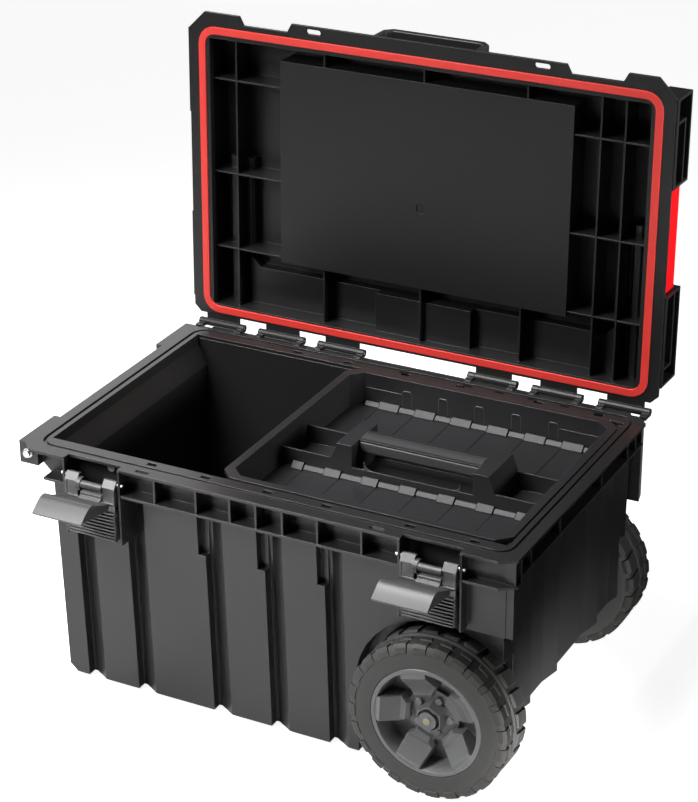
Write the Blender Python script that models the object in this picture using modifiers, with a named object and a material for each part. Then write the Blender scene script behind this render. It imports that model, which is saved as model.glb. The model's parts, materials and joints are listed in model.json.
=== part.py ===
"""Rolling toolbox: a deep tub on two wheels with a hinged lid, a lift-out tray,
two draw latches and a tow handle. Lengths are in metres, Z is up.

X runs along the box, from the tow handle end to the wheel end. Y runs from the
latch side to the hinge side. The origin is on the floor, under the middle of
the lid's seal. The lid stands open, as it rests on its stop.
"""

import math

import bmesh
import bpy
from mathutils import Matrix, Vector

# Overall sizes
RIM_TOP = 0.316
SEAL_HALF_X = 0.300
SEAL_HALF_Y = 0.184
SEAL_CORNER = 0.018
RUNNING_GAP = 0.0003
PIN_CLEARANCE = 0.0003
WELD = 0.00001
SHARP_EDGE_DEG = 35.0
OVERLAP = 0.001
PASS = 0.010

# How finely round shapes are cut
ROUND_STEPS = 20
TYRE_STEPS = 32
WELL_STEPS = 36
PIN_STEPS = 12
HINGE_PIN_STEPS = 8
BOLT_STEPS = 16

# Rim channel, with its edges measured out from the seal
RIM_MARGIN_LEFT = 0.0155
RIM_MARGIN_RIGHT = 0.015
RIM_MARGIN_FRONT = 0.020
RIM_MARGIN_BACK = 0.008
RIM_LEFT = -SEAL_HALF_X - RIM_MARGIN_LEFT
RIM_RIGHT = SEAL_HALF_X + RIM_MARGIN_RIGHT
RIM_FRONT = -SEAL_HALF_Y - RIM_MARGIN_FRONT
RIM_BACK = SEAL_HALF_Y + RIM_MARGIN_BACK
RIM_CHAMFER = 0.014
CORNER_CUT_X = 0.019
CORNER_CUT_Y = 0.0125
RIM_THICKNESS = 0.0035
LIP_THICKNESS = 0.003
FRONT_LIP_DROP = 0.036
END_LIP_DROP = 0.026
FIN_THICKNESS = 0.0025
FINS_X = (-0.1324, -0.0777, -0.0336, 0.0, 0.0336, 0.0777, 0.1324)
FINS_Y = (-0.1795, -0.1545, -0.0755, 0.045, 0.1254, 0.1505)
GROOVE_WIDTH = 0.004
GROOVE_DEPTH = 0.0025
RIM_HOLES_X = (-0.151, -0.080, 0.0, 0.075, 0.178, 0.256)
RIM_HOLE_INSET = 0.0095
RIM_HOLE_Y = SEAL_HALF_Y - RIM_HOLE_INSET
RIM_HOLE_LENGTH = 0.012
RIM_HOLE_WIDTH = 0.006
RIM_HOLE_DEPTH = 0.006
SLOTS_X = (-0.151, 0.148)
SLOT_INSET = 0.008
SLOT_Y = RIM_FRONT + SLOT_INSET
SLOT_LENGTH = 0.018
SLOT_WIDTH = 0.006

# Tub walls
WALL = 0.004
PANEL_INSET = 0.001
PANEL_HALF_Y = SEAL_HALF_Y - PANEL_INSET
DRAFT = 0.011
LEFT_WALL_INSET = 0.016
LEFT_WALL_X = -SEAL_HALF_X + LEFT_WALL_INSET
RIGHT_WALL_INSET = 0.006
RIGHT_WALL_X = SEAL_HALF_X - RIGHT_WALL_INSET
FLOOR_UNDERSIDE = 0.004
FOOT_CHAMFER = 0.010
SKID_WIDTH = 0.030
SKID_INSET = 0.020
SKID_OFFSET_Y = 0.110
SKIRT_BOTTOM = 0.090
SKIRT_DEPTH = 0.022
RAISED_FLOOR = SKIRT_BOTTOM + SKIRT_DEPTH

# Front and back panels, each with a sharp ridge and a ramp behind it
RIDGE_SPACINGS = (0.027, 0.071, 0.105, 0.078, 0.077)
RIDGES_X = [LEFT_WALL_X + sum(RIDGE_SPACINGS[: count + 1]) for count in range(len(RIDGE_SPACINGS))]
RIDGE_DEPTH = 0.013
RIDGE_FLOOR = 0.004
RIDGE_RAMP = 0.020
STEPPED_RIDGES = 3
RIDGE_STEP = 0.0095
RIDGE_STEP_DROP = 0.100

# Ridges on the wheel end
END_RIDGES_Y = (-0.119, -0.039, 0.086, 0.1695)
END_RIDGE_DEPTH = 0.006
END_RIDGE_RAMP = 0.032

# Mouth and ledge that the tray rests on
MOUTH_INSET_X = 0.008
MOUTH_INSET_Y = 0.017
MOUTH_HALF_X = SEAL_HALF_X - MOUTH_INSET_X
MOUTH_HALF_Y = SEAL_HALF_Y - MOUTH_INSET_Y
LEDGE_DROP = 0.0048
LEDGE_WIDTH = 0.006
LEDGE_HEIGHT = 0.006
LEDGE_Z = RIM_TOP - LEDGE_DROP

# Corner panels beside the wheel end's latch
CORNER_PANEL_DROP = 0.1015
CORNER_PANEL_INSET = 0.014
CORNER_PANEL_THICKNESS = 0.019
CORNER_PANEL_Y = -RIM_FRONT - CORNER_PANEL_INSET
CORNER_PANEL_INNER_Y = CORNER_PANEL_Y - CORNER_PANEL_THICKNESS
CORNER_CREASE_X = RIM_RIGHT - 0.0148
CORNER_CREASE_STEP = 0.001
CORNER_END_INSETS = (0.006, 0.002)
CELL_FIN_INSET = 0.003
CELL_FIN_Y = -CORNER_PANEL_Y - FIN_THICKNESS / 10
CELL_PIN_RADIUS = 0.0016
CELL_PIN_DROP = 0.013

# Ears that carry the tow handle
EAR_REACH = 0.0085
EAR_X = RIM_LEFT - EAR_REACH
EAR_INNER_Y = 0.116
EAR_OUTER_INSET = 0.014
EAR_OUTER_Y = -RIM_FRONT - EAR_OUTER_INSET
EAR_DROP = 0.028
SHOULDER_REACH = 0.016
SHOULDER_X = LEFT_WALL_X - SHOULDER_REACH
SHOULDER_DROP = 0.042
SHOULDER_CHAMFER = 0.015

# Wheels and axle
WHEEL_RADIUS = 0.098
WHEEL_END_INSET = 0.076
WHEEL_X = RIGHT_WALL_X - WHEEL_END_INSET
WHEEL_PROUD = 0.013
WHEEL_OUTER_Y = -RIM_FRONT + WHEEL_PROUD
WHEEL_WIDTH = 0.0585
WHEEL_INNER_Y = WHEEL_OUTER_Y - WHEEL_WIDTH
ARCH_CLEARANCE = 0.010
ARCH_RADIUS = WHEEL_RADIUS + ARCH_CLEARANCE
WELL_SIDE_CLEARANCE = 0.006
WELL_INNER_Y = WHEEL_INNER_Y - WELL_SIDE_CLEARANCE
DEEP_END_X = WHEEL_X - ARCH_RADIUS + WALL / 2
AXLE_Z = WHEEL_RADIUS
AXLE_RADIUS = 0.006
AXLE_END_RADIUS = 0.004
AXLE_END_LENGTH = 0.0055
AXLE_SHOULDER = 0.0095
AXLE_BOSS_RADIUS = 0.015
AXLE_BOSS_LENGTH = 0.016
AXLE_NUT_RADIUS = 0.011
BUSHING_WALL = 0.004
BUSHING_RADIUS = AXLE_RADIUS + BUSHING_WALL
RIM_RING_RADIUS = 0.068
RIM_RING_THICKNESS = 0.006
HUB_RADIUS = 0.029
HUB_RECESS = 0.009
SPOKES = 5
SPOKE_WIDTH = 0.030
SPOKE_ROOT_WIDTH = 0.027
SPOKE_THICKNESS = 0.016
SPOKE_SWEEP_DEG = 10.0
SPOKE_START_DEG = 100.0
SPOKE_RISE = 0.003
WEB_THICKNESS = 0.004
LUG_RADIUS = 0.0042
LUG_INSET = 0.0075
LUG_CIRCLE = HUB_RADIUS - LUG_INSET
LUG_HEIGHT = 0.0025
TYRE_SHOULDER = 0.010
TREAD_BLOCKS = 28
TREAD_DEPTH = 0.005
TREAD_NOTCH = 0.0035
TREAD_NOTCH_LENGTH = 0.016
TREAD_RIDGE_WIDTH = 0.006
TREAD_RIDGE_HEIGHT = 0.001

# Latches
LATCH_INSET = 0.099
LATCHES_X = (-RIM_RIGHT + LATCH_INSET, RIM_RIGHT - LATCH_INSET)
LATCH_SIDES = ("left", "right")
LATCH_CHEEK_INNER = 0.036
LATCH_CHEEK_THICKNESS = 0.0025
LATCH_CHEEK_PROUD = 0.001
LATCH_CHEEK_FRONT = RIM_FRONT - LATCH_CHEEK_PROUD
LATCH_CHEEK_DROP = 0.098
CHEEK_MIDDLE = LATCH_CHEEK_INNER + LATCH_CHEEK_THICKNESS / 2
LATCH_NOTCH_DEPTH = 0.010
LATCH_NOTCH_Y = RIM_FRONT + LATCH_NOTCH_DEPTH
RECESS_DEPTH = 0.024
RECESS_BACK_Y = RIM_FRONT + RECESS_DEPTH
LATCH_PIN_INSET = 0.002
LATCH_PIN_Y = RIM_FRONT + LATCH_PIN_INSET
LATCH_PIN_DROP = 0.021
LATCH_PIN_Z = RIM_TOP - LATCH_PIN_DROP
LATCH_PIN_RADIUS = 0.002
LATCH_PIN_GRIP = 0.007
LATCH_PIN_START = LATCH_CHEEK_INNER - LATCH_PIN_GRIP
LATCH_PIN_PROUD = 0.003
LATCH_PIN_END = LATCH_CHEEK_INNER + LATCH_CHEEK_THICKNESS + LATCH_PIN_PROUD
LEVER_SIDE_GAP = 0.0025
LEVER_HALF_WIDTH = LATCH_CHEEK_INNER - LEVER_SIDE_GAP
LEVER_LUG_WIDTH = 0.018
LEVER_FRONT = 0.0075
LEVER_BACK = 0.005
LEVER_TOP = 0.005
LEVER_PIN_INSET = 0.002
LEVER_BOTTOM_DROP = 0.096
LEVER_PLATE_TOP_DROP = 0.047
LEVER_PLATE_THICKNESS = 0.003
LEVER_RIB_COUNT = 7
LEVER_RIB_HEIGHT = 0.0025
LEVER_RIB_THICKNESS = 0.002
HOOK_AXIS_OUT = 0.003
HOOK_AXIS_DROP = 0.014
HOOK_BARREL_RADIUS = 0.006
HOOK_ARM_HALF = 0.0054
HOOK_PIN_RADIUS = 0.002
HOOK_HALF_WIDTH = 0.033
HOOK_REACH = 0.074
HOOK_THICKNESS = 0.004
HOOK_TIP_SLANT = 0.0014
HOOK_FLAP_START = 0.022
HOOK_CREST = 0.012
HOOK_ROOT_DIP = 0.005
HOOK_TIP_DIP = 0.0135
HOOK_CURL = 2.6
HOOK_STEPS = 7
HOOK_WEDGE_DROP = 0.0095
HOOK_WEDGE_FORWARD = 0.004
HOOK_WEDGE_TUCK = 0.003
HOOK_WEDGE_INSET = 0.003
PLUG_RADIUS = 0.005
PLUG_THICKNESS = 0.003
PLUG_X_OFFSET = 0.014
PLUG_DROP = 0.012

# Hinge, with its tabs set out from the lid's ends inwards
LID_OVERHANG = 0.0035
LID_HALF_X = RIM_RIGHT + LID_OVERHANG
HINGE_SETBACK = 0.0125
HINGE_Y = RIM_BACK + HINGE_SETBACK
HINGE_RISE = 0.0017
LID_OPEN_DEG = 91.6
TAB_WIDTH = 0.047
TAB_END_INSETS = (0.1905, 0.1045, 0.0175)
HINGE_TABS_X = [(LID_HALF_X - inset - TAB_WIDTH, LID_HALF_X - inset) for inset in TAB_END_INSETS]
KNUCKLE_WIDTH = 0.009
KNUCKLE_RADIUS = 0.005
HINGE_PIN_RADIUS = 0.002
TAB_THICKNESS = 0.004

# Lid, measured as it lies closed, with heights above the rim
LID_BACK_Y = RIM_BACK
LID_BAR_PROUD = 0.002
LID_BAR_Y = RIM_FRONT - LID_BAR_PROUD
LID_STRIP_INSET = 0.009
LID_STRIP_Y = RIM_FRONT + LID_STRIP_INSET
LID_STRIP_OUTER = (0.026, 0.038)
LID_STRIP_INNER = (0.035, 0.026)
LID_STRIP_X = (LATCHES_X[0] - LID_STRIP_OUTER[0], LATCHES_X[1] + LID_STRIP_OUTER[1])
LID_BAR_X = (LATCHES_X[0] + LID_STRIP_INNER[0], LATCHES_X[1] - LID_STRIP_INNER[1])
LID_BAR_CHAMFER = 0.006
LID_FRONT_CHAMFER = 0.022
LID_BACK_CHAMFER = 0.009
LID_FACE = 0.002
LID_FLANGE_THICKNESS = 0.004
LID_HEIGHT = 0.050
LID_WALL = 0.0035
LID_CAVITY_INSET = 0.010
LID_CAVITY_BACK_INSET = 0.007
LID_CAVITY_X = SEAL_HALF_X - LID_CAVITY_INSET
LID_CAVITY_FRONT = -SEAL_HALF_Y + LID_CAVITY_INSET
LID_CAVITY_BACK = SEAL_HALF_Y - LID_CAVITY_BACK_INSET
LID_SLOTS_X = (-0.145, 0.154)
LID_SLOT_INSET = 0.0065
LID_SLOT_Y = LID_BAR_Y + LID_SLOT_INSET
LID_SLOT_LENGTH = 0.020
LID_SLOT_WIDTH = 0.0065
WELL_HALF_X = 0.194
WELL_FRONT_CHANNEL = 0.018
WELL_BACK_CHANNEL = 0.071
WELL_FRONT = LID_CAVITY_FRONT + WELL_FRONT_CHANNEL
WELL_BACK = LID_CAVITY_BACK - WELL_BACK_CHANNEL
WELL_FACE = 0.008
WELL_WALL = 0.003
LID_RIB_EDGE = 0.010
LID_RIB_THICKNESS = 0.002
LID_RIB_END_INSETS = (0.035, 0.006)
LID_RIBS_Y = (WELL_FRONT + LID_RIB_END_INSETS[0], 0.0, WELL_BACK - LID_RIB_END_INSETS[1])
LID_OUTER_RIB_INSET = 0.033
LID_INNER_RIB_INSET = 0.063
LID_LONG_RIBS_X = (
    -LID_CAVITY_X + LID_OUTER_RIB_INSET,
    LID_CAVITY_X - LID_INNER_RIB_INSET,
    LID_CAVITY_X - LID_OUTER_RIB_INSET,
)
SHELF_DEPTH = 0.049
SHELF_LEVEL = 0.0315
SHELF_INSET = 0.053
SHELF_HALF_X = LID_CAVITY_X - SHELF_INSET
SHELF_CHAMFER = 0.014
SHELF_WALL = 0.003
SHELF_FRONT = LID_CAVITY_BACK - SHELF_DEPTH
STEP_HALF_X = 0.065
STEP_LEVEL = 0.0175
STEP_PROUD = 0.001
RIDGE_LEVEL = 0.030
RIDGE_CHAMFER = 0.004
RIDGE_START = -0.016
RIDGE_INSETS = (0.010, 0.0315)
RIDGE_WIDTHS = (0.015, 0.013)
LID_SHORT_RIBS_X = (-0.134, 0.0, 0.134)
PANEL_BOSS_RADIUS = 0.007
PANEL_BOSS_DEPTH = 0.0015
PANEL_BOSS_OFFSET = 0.027
CORNER_BLOCK_PROUD = 0.0025
CORNER_BLOCK_X = LID_HALF_X + CORNER_BLOCK_PROUD
CORNER_BLOCK_INSETS = (0.001, 0.012)
CORNER_BLOCK_LENGTHS = (0.108, 0.115)
CORNER_BLOCK_ENDS = (-SEAL_HALF_Y + CORNER_BLOCK_INSETS[0], SEAL_HALF_Y - CORNER_BLOCK_INSETS[1])
CORNER_BLOCKS_Y = (
    (CORNER_BLOCK_ENDS[0], CORNER_BLOCK_ENDS[0] + CORNER_BLOCK_LENGTHS[0]),
    (CORNER_BLOCK_ENDS[1] - CORNER_BLOCK_LENGTHS[1], CORNER_BLOCK_ENDS[1]),
)
CORNER_BLOCK_WALL = 0.003
CORNER_POCKET = 0.020
CORNER_SPLIT_DROP = 0.0185
CORNER_SPLIT_LENGTHS = (0.0295, 0.0225)
BAND_BACKING_INSET = 0.0065
BAND_BACKING_X = LID_HALF_X - BAND_BACKING_INSET
BAND_THICKNESS = 0.0037
BAND_END_GAPS = (0.005, 0.0015)
BAND_Y = (CORNER_BLOCKS_Y[0][1] + BAND_END_GAPS[0], CORNER_BLOCKS_Y[1][0] - BAND_END_GAPS[1])
BAND_Z = (LID_FACE + LID_FLANGE_THICKNESS + 0.0045, LID_HEIGHT - 0.0105)
BAND_FRAME = 0.003
SEAL_WIDTH = 0.0095
SEAL_RISE = 0.0004
SEAL_SEAT_DEPTH = 0.002

# Carry handle on the lid's front
CARRY_HALF_WIDTH = 0.070
CARRY_REACH = 0.0265
CARRY_OUTER_Y = LID_CAVITY_FRONT - LID_WALL - CARRY_REACH
CARRY_ARM = 0.0065
CARRY_BAR = 0.0095
CARRY_GRIP = 0.0105
CARRY_CHAMFER = 0.010

# Tray
TRAY_SIDE_GAP = 0.002
TRAY_LENGTH = 0.360
TRAY_RIGHT = MOUTH_HALF_X - TRAY_SIDE_GAP
TRAY_LEFT = TRAY_RIGHT - TRAY_LENGTH
TRAY_HALF_Y = MOUTH_HALF_Y - TRAY_SIDE_GAP
TRAY_CHAMFER = 0.016
TRAY_PROUD = 0.0015
TRAY_LAND = 0.007
TRAY_WALL = 0.0025
TRAY_DEPTH = 0.045
TRAY_DIVIDER_Y = 0.032
TRAY_DIVIDER_DROP = 0.019
GRIP_LEFT_INSET = 0.087
GRIP_RIGHT_INSET = 0.086
GRIP_LEFT = TRAY_LEFT + GRIP_LEFT_INSET
GRIP_RIGHT = TRAY_RIGHT - GRIP_RIGHT_INSET
GRIP_POST = 0.016
GRIP_SPREAD = 0.011
GRIP_BAR_HALF_Y = 0.0135
GRIP_BAR_HEIGHT = 0.014
GRIP_OPENING_DROP = 0.026

# Tow handle
TOW_PIVOT_INSET = 0.0037
TOW_PIVOT_X = RIM_LEFT + TOW_PIVOT_INSET
TOW_PIVOT_DROP = 0.0136
TOW_EYE_RADIUS = 0.008
TOW_EYE_WIDTH = 0.012
TOW_EYE_GAP = 0.006
TOW_ARM_Y = EAR_INNER_Y - TOW_EYE_GAP - TOW_EYE_WIDTH / 2
TOW_REACH = 0.262
TOW_LEAN = 0.003
TOW_TUBE_RADIUS = 0.0065
TOW_BEND = 0.028
TOW_BEND_STEPS = 4
TOW_BOLT_RADIUS = 0.0026
TOW_BOLT_HEAD_RADIUS = 0.0046
TOW_BOLT_HEAD = 0.0035
TOW_WASHER_RADIUS = 0.0062
TOW_WASHER_THICKNESS = 0.0012
TOW_GRIP_RADIUS = 0.0125
TOW_GRIP_LENGTH = 0.130

# Places that several pieces share
RIB_ROOT_Y = PANEL_HALF_Y - RIDGE_DEPTH - WALL / 2
END_ROOT_X = RIGHT_WALL_X - WALL / 2


class Place:
    """Where pieces are built: an optional parent empty and an offset from it."""

    def __init__(self, parent=None, offset=(0.0, 0.0, 0.0)):
        self.parent = parent
        self.offset = Vector(offset)

    def put(self, piece, location):
        piece.parent = self.parent
        piece.location = Vector(location) + self.offset


WORLD = Place()


def joint_place(name, location, parent=None):
    """A place on a joint's axis, marked by an empty that its pieces hang on."""
    axis = bpy.data.objects.new(name, None)
    PARTS.objects.link(axis)
    axis.parent = parent
    axis.location = location
    axis.empty_display_size = 0.02
    return Place(axis)


def clear_scene():
    for item in list(bpy.data.objects):
        bpy.data.objects.remove(item, do_unlink=True)


def new_collection(name, parent=None):
    made = bpy.data.collections.new(name)
    holder = parent or bpy.context.scene.collection
    holder.children.link(made)
    return made


def plastic(name, colour, roughness, metallic=0.0):
    made = bpy.data.materials.new(name)
    made.use_nodes = True
    shader = made.node_tree.nodes["Principled BSDF"]
    shader.inputs["Base Color"].default_value = (*colour, 1.0)
    shader.inputs["Roughness"].default_value = roughness
    shader.inputs["Metallic"].default_value = metallic
    return made


clear_scene()
PARTS = new_collection("rolling_toolbox")
CUTTERS = new_collection("cutters")

BLACK = (0.018, 0.018, 0.019)
GREY = (0.070, 0.072, 0.075)
RED = (0.80, 0.035, 0.030)
ZINC = (0.62, 0.64, 0.66)
TYRE_BLACK = (0.022, 0.022, 0.023)
CREAM = (0.75, 0.72, 0.62)
TUBE_BLACK = (0.030, 0.030, 0.032)


def finish(piece, colour, roughness, metallic=0.0):
    """Give a piece its own material."""
    piece.data.materials.clear()
    piece.data.materials.append(plastic(piece.name + "_finish", colour, roughness, metallic))
    return piece


def hide_cutter(piece):
    piece.hide_render = True
    piece.display_type = "WIRE"


def add_object(name, data, collection):
    piece = bpy.data.objects.new(name, data)
    collection.objects.link(piece)
    if collection is not PARTS:
        hide_cutter(piece)
    return piece


def mesh_piece(name, shape, collection):
    mesh = bpy.data.meshes.new(name)
    shape.to_mesh(mesh)
    shape.free()
    return add_object(name, mesh, collection)


def box(name, low, high, collection, place=WORLD):
    """A box between two opposite corners."""
    low = Vector(low)
    high = Vector(high)
    size = high - low
    shape = bmesh.new()
    bmesh.ops.create_cube(shape, size=1.0, matrix=Matrix.Diagonal((*size, 1.0)))
    piece = mesh_piece(name, shape, collection)
    place.put(piece, (low + high) / 2)
    return piece


def axis_turn(axis):
    """The rotation that takes Z to the named axis."""
    turns = {
        "X": Matrix.Rotation(math.pi / 2, 4, "Y"),
        "Y": Matrix.Rotation(-math.pi / 2, 4, "X"),
        "Z": Matrix.Identity(4),
    }
    return turns[axis]


def cylinder(name, radius, low, high, centre, axis, collection, place=WORLD, steps=ROUND_STEPS):
    """A round bar along one axis, between two places on that axis."""
    shape = bmesh.new()
    bmesh.ops.create_cone(
        shape,
        cap_ends=True,
        segments=steps,
        radius1=radius,
        radius2=radius,
        depth=high - low,
        matrix=axis_turn(axis),
    )
    piece = mesh_piece(name, shape, collection)
    index = "XYZ".index(axis)
    middle = list(centre)
    middle.insert(index, (low + high) / 2)
    place.put(piece, middle)
    piece.data.shade_smooth()
    piece.data.set_sharp_from_angle(angle=math.radians(SHARP_EDGE_DEG))
    return piece


def curve_to_mesh(piece, collection):
    """Turn a curve piece into a welded mesh piece at the same place."""
    bpy.context.view_layer.update()
    graph = bpy.context.evaluated_depsgraph_get()
    mesh = bpy.data.meshes.new_from_object(piece.evaluated_get(graph))
    shape = bmesh.new()
    shape.from_mesh(mesh)
    bmesh.ops.remove_doubles(shape, verts=shape.verts, dist=WELD)
    bmesh.ops.recalc_face_normals(shape, faces=shape.faces)
    shape.to_mesh(mesh)
    shape.free()
    name = piece.name
    parent = piece.parent
    place_now = piece.matrix_world.copy()
    bpy.data.objects.remove(piece, do_unlink=True)
    made = add_object(name, mesh, collection)
    made.parent = parent
    made.matrix_world = place_now
    return made


def prism(name, outlines, low, high, axis, collection, place=WORLD):
    """Flat outlines pulled out along an axis. For Z they hold (x, y), for Y (x, z),
    and for X (y, z). The first outline is the outside and the others are holes."""
    curve = bpy.data.curves.new(name, "CURVE")
    curve.dimensions = "2D"
    curve.fill_mode = "BOTH"
    curve.extrude = (high - low) / 2
    for outline in outlines:
        spline = curve.splines.new("POLY")
        spline.points.add(len(outline) - 1)
        spline.use_cyclic_u = True
        for point, (across, along) in zip(spline.points, outline):
            point.co = (across, along, 0.0, 1.0)
    piece = add_object(name, curve, collection)
    middle = (low + high) / 2
    if axis == "Z":
        place.put(piece, (0.0, 0.0, middle))
    elif axis == "Y":
        piece.rotation_euler = (math.pi / 2, 0.0, 0.0)
        place.put(piece, (0.0, middle, 0.0))
    else:
        piece.rotation_euler = (math.pi / 2, 0.0, math.pi / 2)
        place.put(piece, (middle, 0.0, 0.0))
    return curve_to_mesh(piece, collection)


def turned(name, profile, centre, collection, place=WORLD, steps=32, closed=True):
    """A profile of (radius, place along Y) spun round an axis along Y."""
    following = profile[1:] + profile[:1]
    area = sum(r0 * a1 - r1 * a0 for (r0, a0), (r1, a1) in zip(profile, following))
    if area > 0:
        profile = list(reversed(profile))
    shape = bmesh.new()
    corners = [shape.verts.new((radius, 0.0, along)) for radius, along in profile]
    for first, second in zip(corners, corners[1:]):
        shape.edges.new((first, second))
    if closed:
        shape.edges.new((corners[-1], corners[0]))
    piece = mesh_piece(name, shape, collection)
    screw = piece.modifiers.new("turn", "SCREW")
    screw.axis = "Z"
    screw.steps = steps
    screw.render_steps = steps
    screw.use_merge_vertices = True
    screw.merge_threshold = WELD
    piece.rotation_euler = (-math.pi / 2, 0.0, 0.0)
    place.put(piece, centre)
    return piece


def ring(name, bore, radius, near, far, centre, collection, place=WORLD, steps=ROUND_STEPS):
    """A plain tube round an axis along Y."""
    profile = [(bore, far), (radius, far), (radius, near), (bore, near)]
    return turned(name, profile, centre, collection, place, steps)


def combine(piece, operands, operation):
    """Add or cut every object of a collection with one Boolean. It stays off until
    every piece is there, so that no shape is worked out twice."""
    change = piece.modifiers.new(operation.lower(), "BOOLEAN")
    change.operation = operation
    change.operand_type = "COLLECTION"
    change.collection = operands
    change.solver = "EXACT"
    change.show_viewport = False


def switch_on_booleans():
    for piece in bpy.data.objects:
        for change in piece.modifiers:
            change.show_viewport = True


def rounded_rectangle(half_x, half_y, radius, steps=5, centre=(0.0, 0.0)):
    points = []
    for number, (sign_x, sign_y) in enumerate(((1, 1), (-1, 1), (-1, -1), (1, -1))):
        middle_x = centre[0] + sign_x * (half_x - radius)
        middle_y = centre[1] + sign_y * (half_y - radius)
        for step in range(steps + 1):
            angle = math.pi / 2 * (number + step / steps)
            points.append((middle_x + radius * math.cos(angle), middle_y + radius * math.sin(angle)))
    return points


def oval(length, width, centre):
    """A slot with round ends."""
    return rounded_rectangle(length / 2, width / 2, width / 2 - RUNNING_GAP, 4, centre)


def chamfered_rectangle(left, right, front, back, chamfer):
    return [
        (left + chamfer, front),
        (right - chamfer, front),
        (right, front + chamfer),
        (right, back - chamfer),
        (right - chamfer, back),
        (left + chamfer, back),
        (left, back - chamfer),
        (left, front + chamfer),
    ]


def lean_at(height):
    """How much the tub's long walls are drawn in at a height, as a moulded box leans."""
    share = max(0.0, (RIM_TOP - height) / RIM_TOP)
    return 1.0 - share * DRAFT / PANEL_HALF_Y


def side_wall(sign):
    """Points along one long wall, from the tow end to the wheel end."""
    proud = sign * PANEL_HALF_Y
    deep = sign * (PANEL_HALF_Y - RIDGE_DEPTH)
    points = [(LEFT_WALL_X, proud)]
    for ridge in RIDGES_X:
        points.append((ridge, proud))
        points.append((ridge, deep))
        points.append((ridge + RIDGE_FLOOR, deep))
        points.append((ridge + RIDGE_FLOOR + RIDGE_RAMP, proud))
    points.append((RIGHT_WALL_X, proud))
    return points


def end_wall():
    """Points up the wheel end, from the latch side to the hinge side."""
    points = []
    for ridge in END_RIDGES_Y:
        points.append((RIGHT_WALL_X, ridge - END_RIDGE_RAMP))
        points.append((RIGHT_WALL_X + END_RIDGE_DEPTH, ridge))
        points.append((RIGHT_WALL_X, ridge))
    return points


def rim_outline():
    """The rim's outer edge, with a notch over each latch."""
    points = [(RIM_LEFT + RIM_CHAMFER, RIM_FRONT)]
    for middle in LATCHES_X:
        points.append((middle - LATCH_CHEEK_INNER, RIM_FRONT))
        points.append((middle - LATCH_CHEEK_INNER, LATCH_NOTCH_Y))
        points.append((middle + LATCH_CHEEK_INNER, LATCH_NOTCH_Y))
        points.append((middle + LATCH_CHEEK_INNER, RIM_FRONT))
    points.append((RIM_RIGHT - CORNER_CUT_X, RIM_FRONT))
    points.append((RIM_RIGHT, RIM_FRONT + CORNER_CUT_Y))
    points.append((RIM_RIGHT, RIM_BACK - RIM_CHAMFER))
    points.append((RIM_RIGHT - RIM_CHAMFER, RIM_BACK))
    points.append((RIM_LEFT + RIM_CHAMFER, RIM_BACK))
    points.append((RIM_LEFT, RIM_BACK - RIM_CHAMFER))
    points.append((RIM_LEFT, RIM_FRONT + RIM_CHAMFER))
    return points


def build_tub_body():
    """The tub's walls as one solid block, before it is hollowed."""
    outline = side_wall(-1) + end_wall() + list(reversed(side_wall(1)))
    top = RIM_TOP - RIM_THICKNESS / 2
    tub = prism("tub", [outline], FLOOR_UNDERSIDE, top, "Z", PARTS)
    for corner in tub.data.vertices:
        corner.co.y *= lean_at((tub.matrix_world @ corner.co).z)
    return tub


def corner_lip_outline():
    """The front lip beside the wheel end's latch, cut off at the corner like the rim."""
    start = LATCHES_X[1] + CHEEK_MIDDLE
    bend = RIM_RIGHT - CORNER_CUT_X
    end = RIM_RIGHT - CELL_FIN_INSET
    drop = (end - bend) * CORNER_CUT_Y / CORNER_CUT_X
    root = -CORNER_PANEL_Y + OVERLAP
    return [(start, RIM_FRONT), (bend, RIM_FRONT), (end, RIM_FRONT + drop), (end, root), (start, root)]


def add_rim(adds):
    """The rim's flange, the shoulder under its tow end and its lower lips."""
    under = RIM_TOP - RIM_THICKNESS
    prism("rim_flange", [rim_outline()], under, RIM_TOP, "Z", adds)
    shoulder = [
        (SHOULDER_X, under + OVERLAP),
        (SHOULDER_X, RIM_TOP - SHOULDER_DROP + SHOULDER_CHAMFER),
        (SHOULDER_X + SHOULDER_CHAMFER, RIM_TOP - SHOULDER_DROP),
        (LEFT_WALL_X + WALL, RIM_TOP - SHOULDER_DROP),
        (LEFT_WALL_X + WALL, under + OVERLAP),
    ]
    half = PANEL_HALF_Y - WALL
    prism("rim_shoulder", [shoulder], -half, half, "Y", adds)
    low = RIM_TOP - FRONT_LIP_DROP
    top = low + LIP_THICKNESS
    left, right = LATCHES_X
    spans = (
        (LEFT_WALL_X + OVERLAP, left - CHEEK_MIDDLE),
        (left + CHEEK_MIDDLE, right - CHEEK_MIDDLE),
    )
    for number, (start, end) in enumerate(spans):
        box(f"front_lip_{number}", (start, RIM_FRONT, low), (end, -RIB_ROOT_Y, top), adds)
    prism("corner_lip", [corner_lip_outline()], low, top, "Z", adds)
    for sign in (-1, 1):
        near, far = sorted((sign * RIB_ROOT_Y, sign * (PANEL_HALF_Y + OVERLAP / 2)))
        box(f"channel_wall_{sign}", (LEFT_WALL_X, near, low), (RIGHT_WALL_X, far, under + OVERLAP), adds)
    end = RIM_RIGHT - RIM_CHAMFER
    box("back_lip", (LEFT_WALL_X + OVERLAP, RIB_ROOT_Y, low), (end, RIM_BACK, top), adds)
    low = RIM_TOP - END_LIP_DROP
    start = (END_ROOT_X, FINS_Y[0] - FIN_THICKNESS / 2, low)
    box("end_lip", start, (RIM_RIGHT, CORNER_PANEL_INNER_Y + OVERLAP, low + LIP_THICKNESS), adds)


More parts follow.
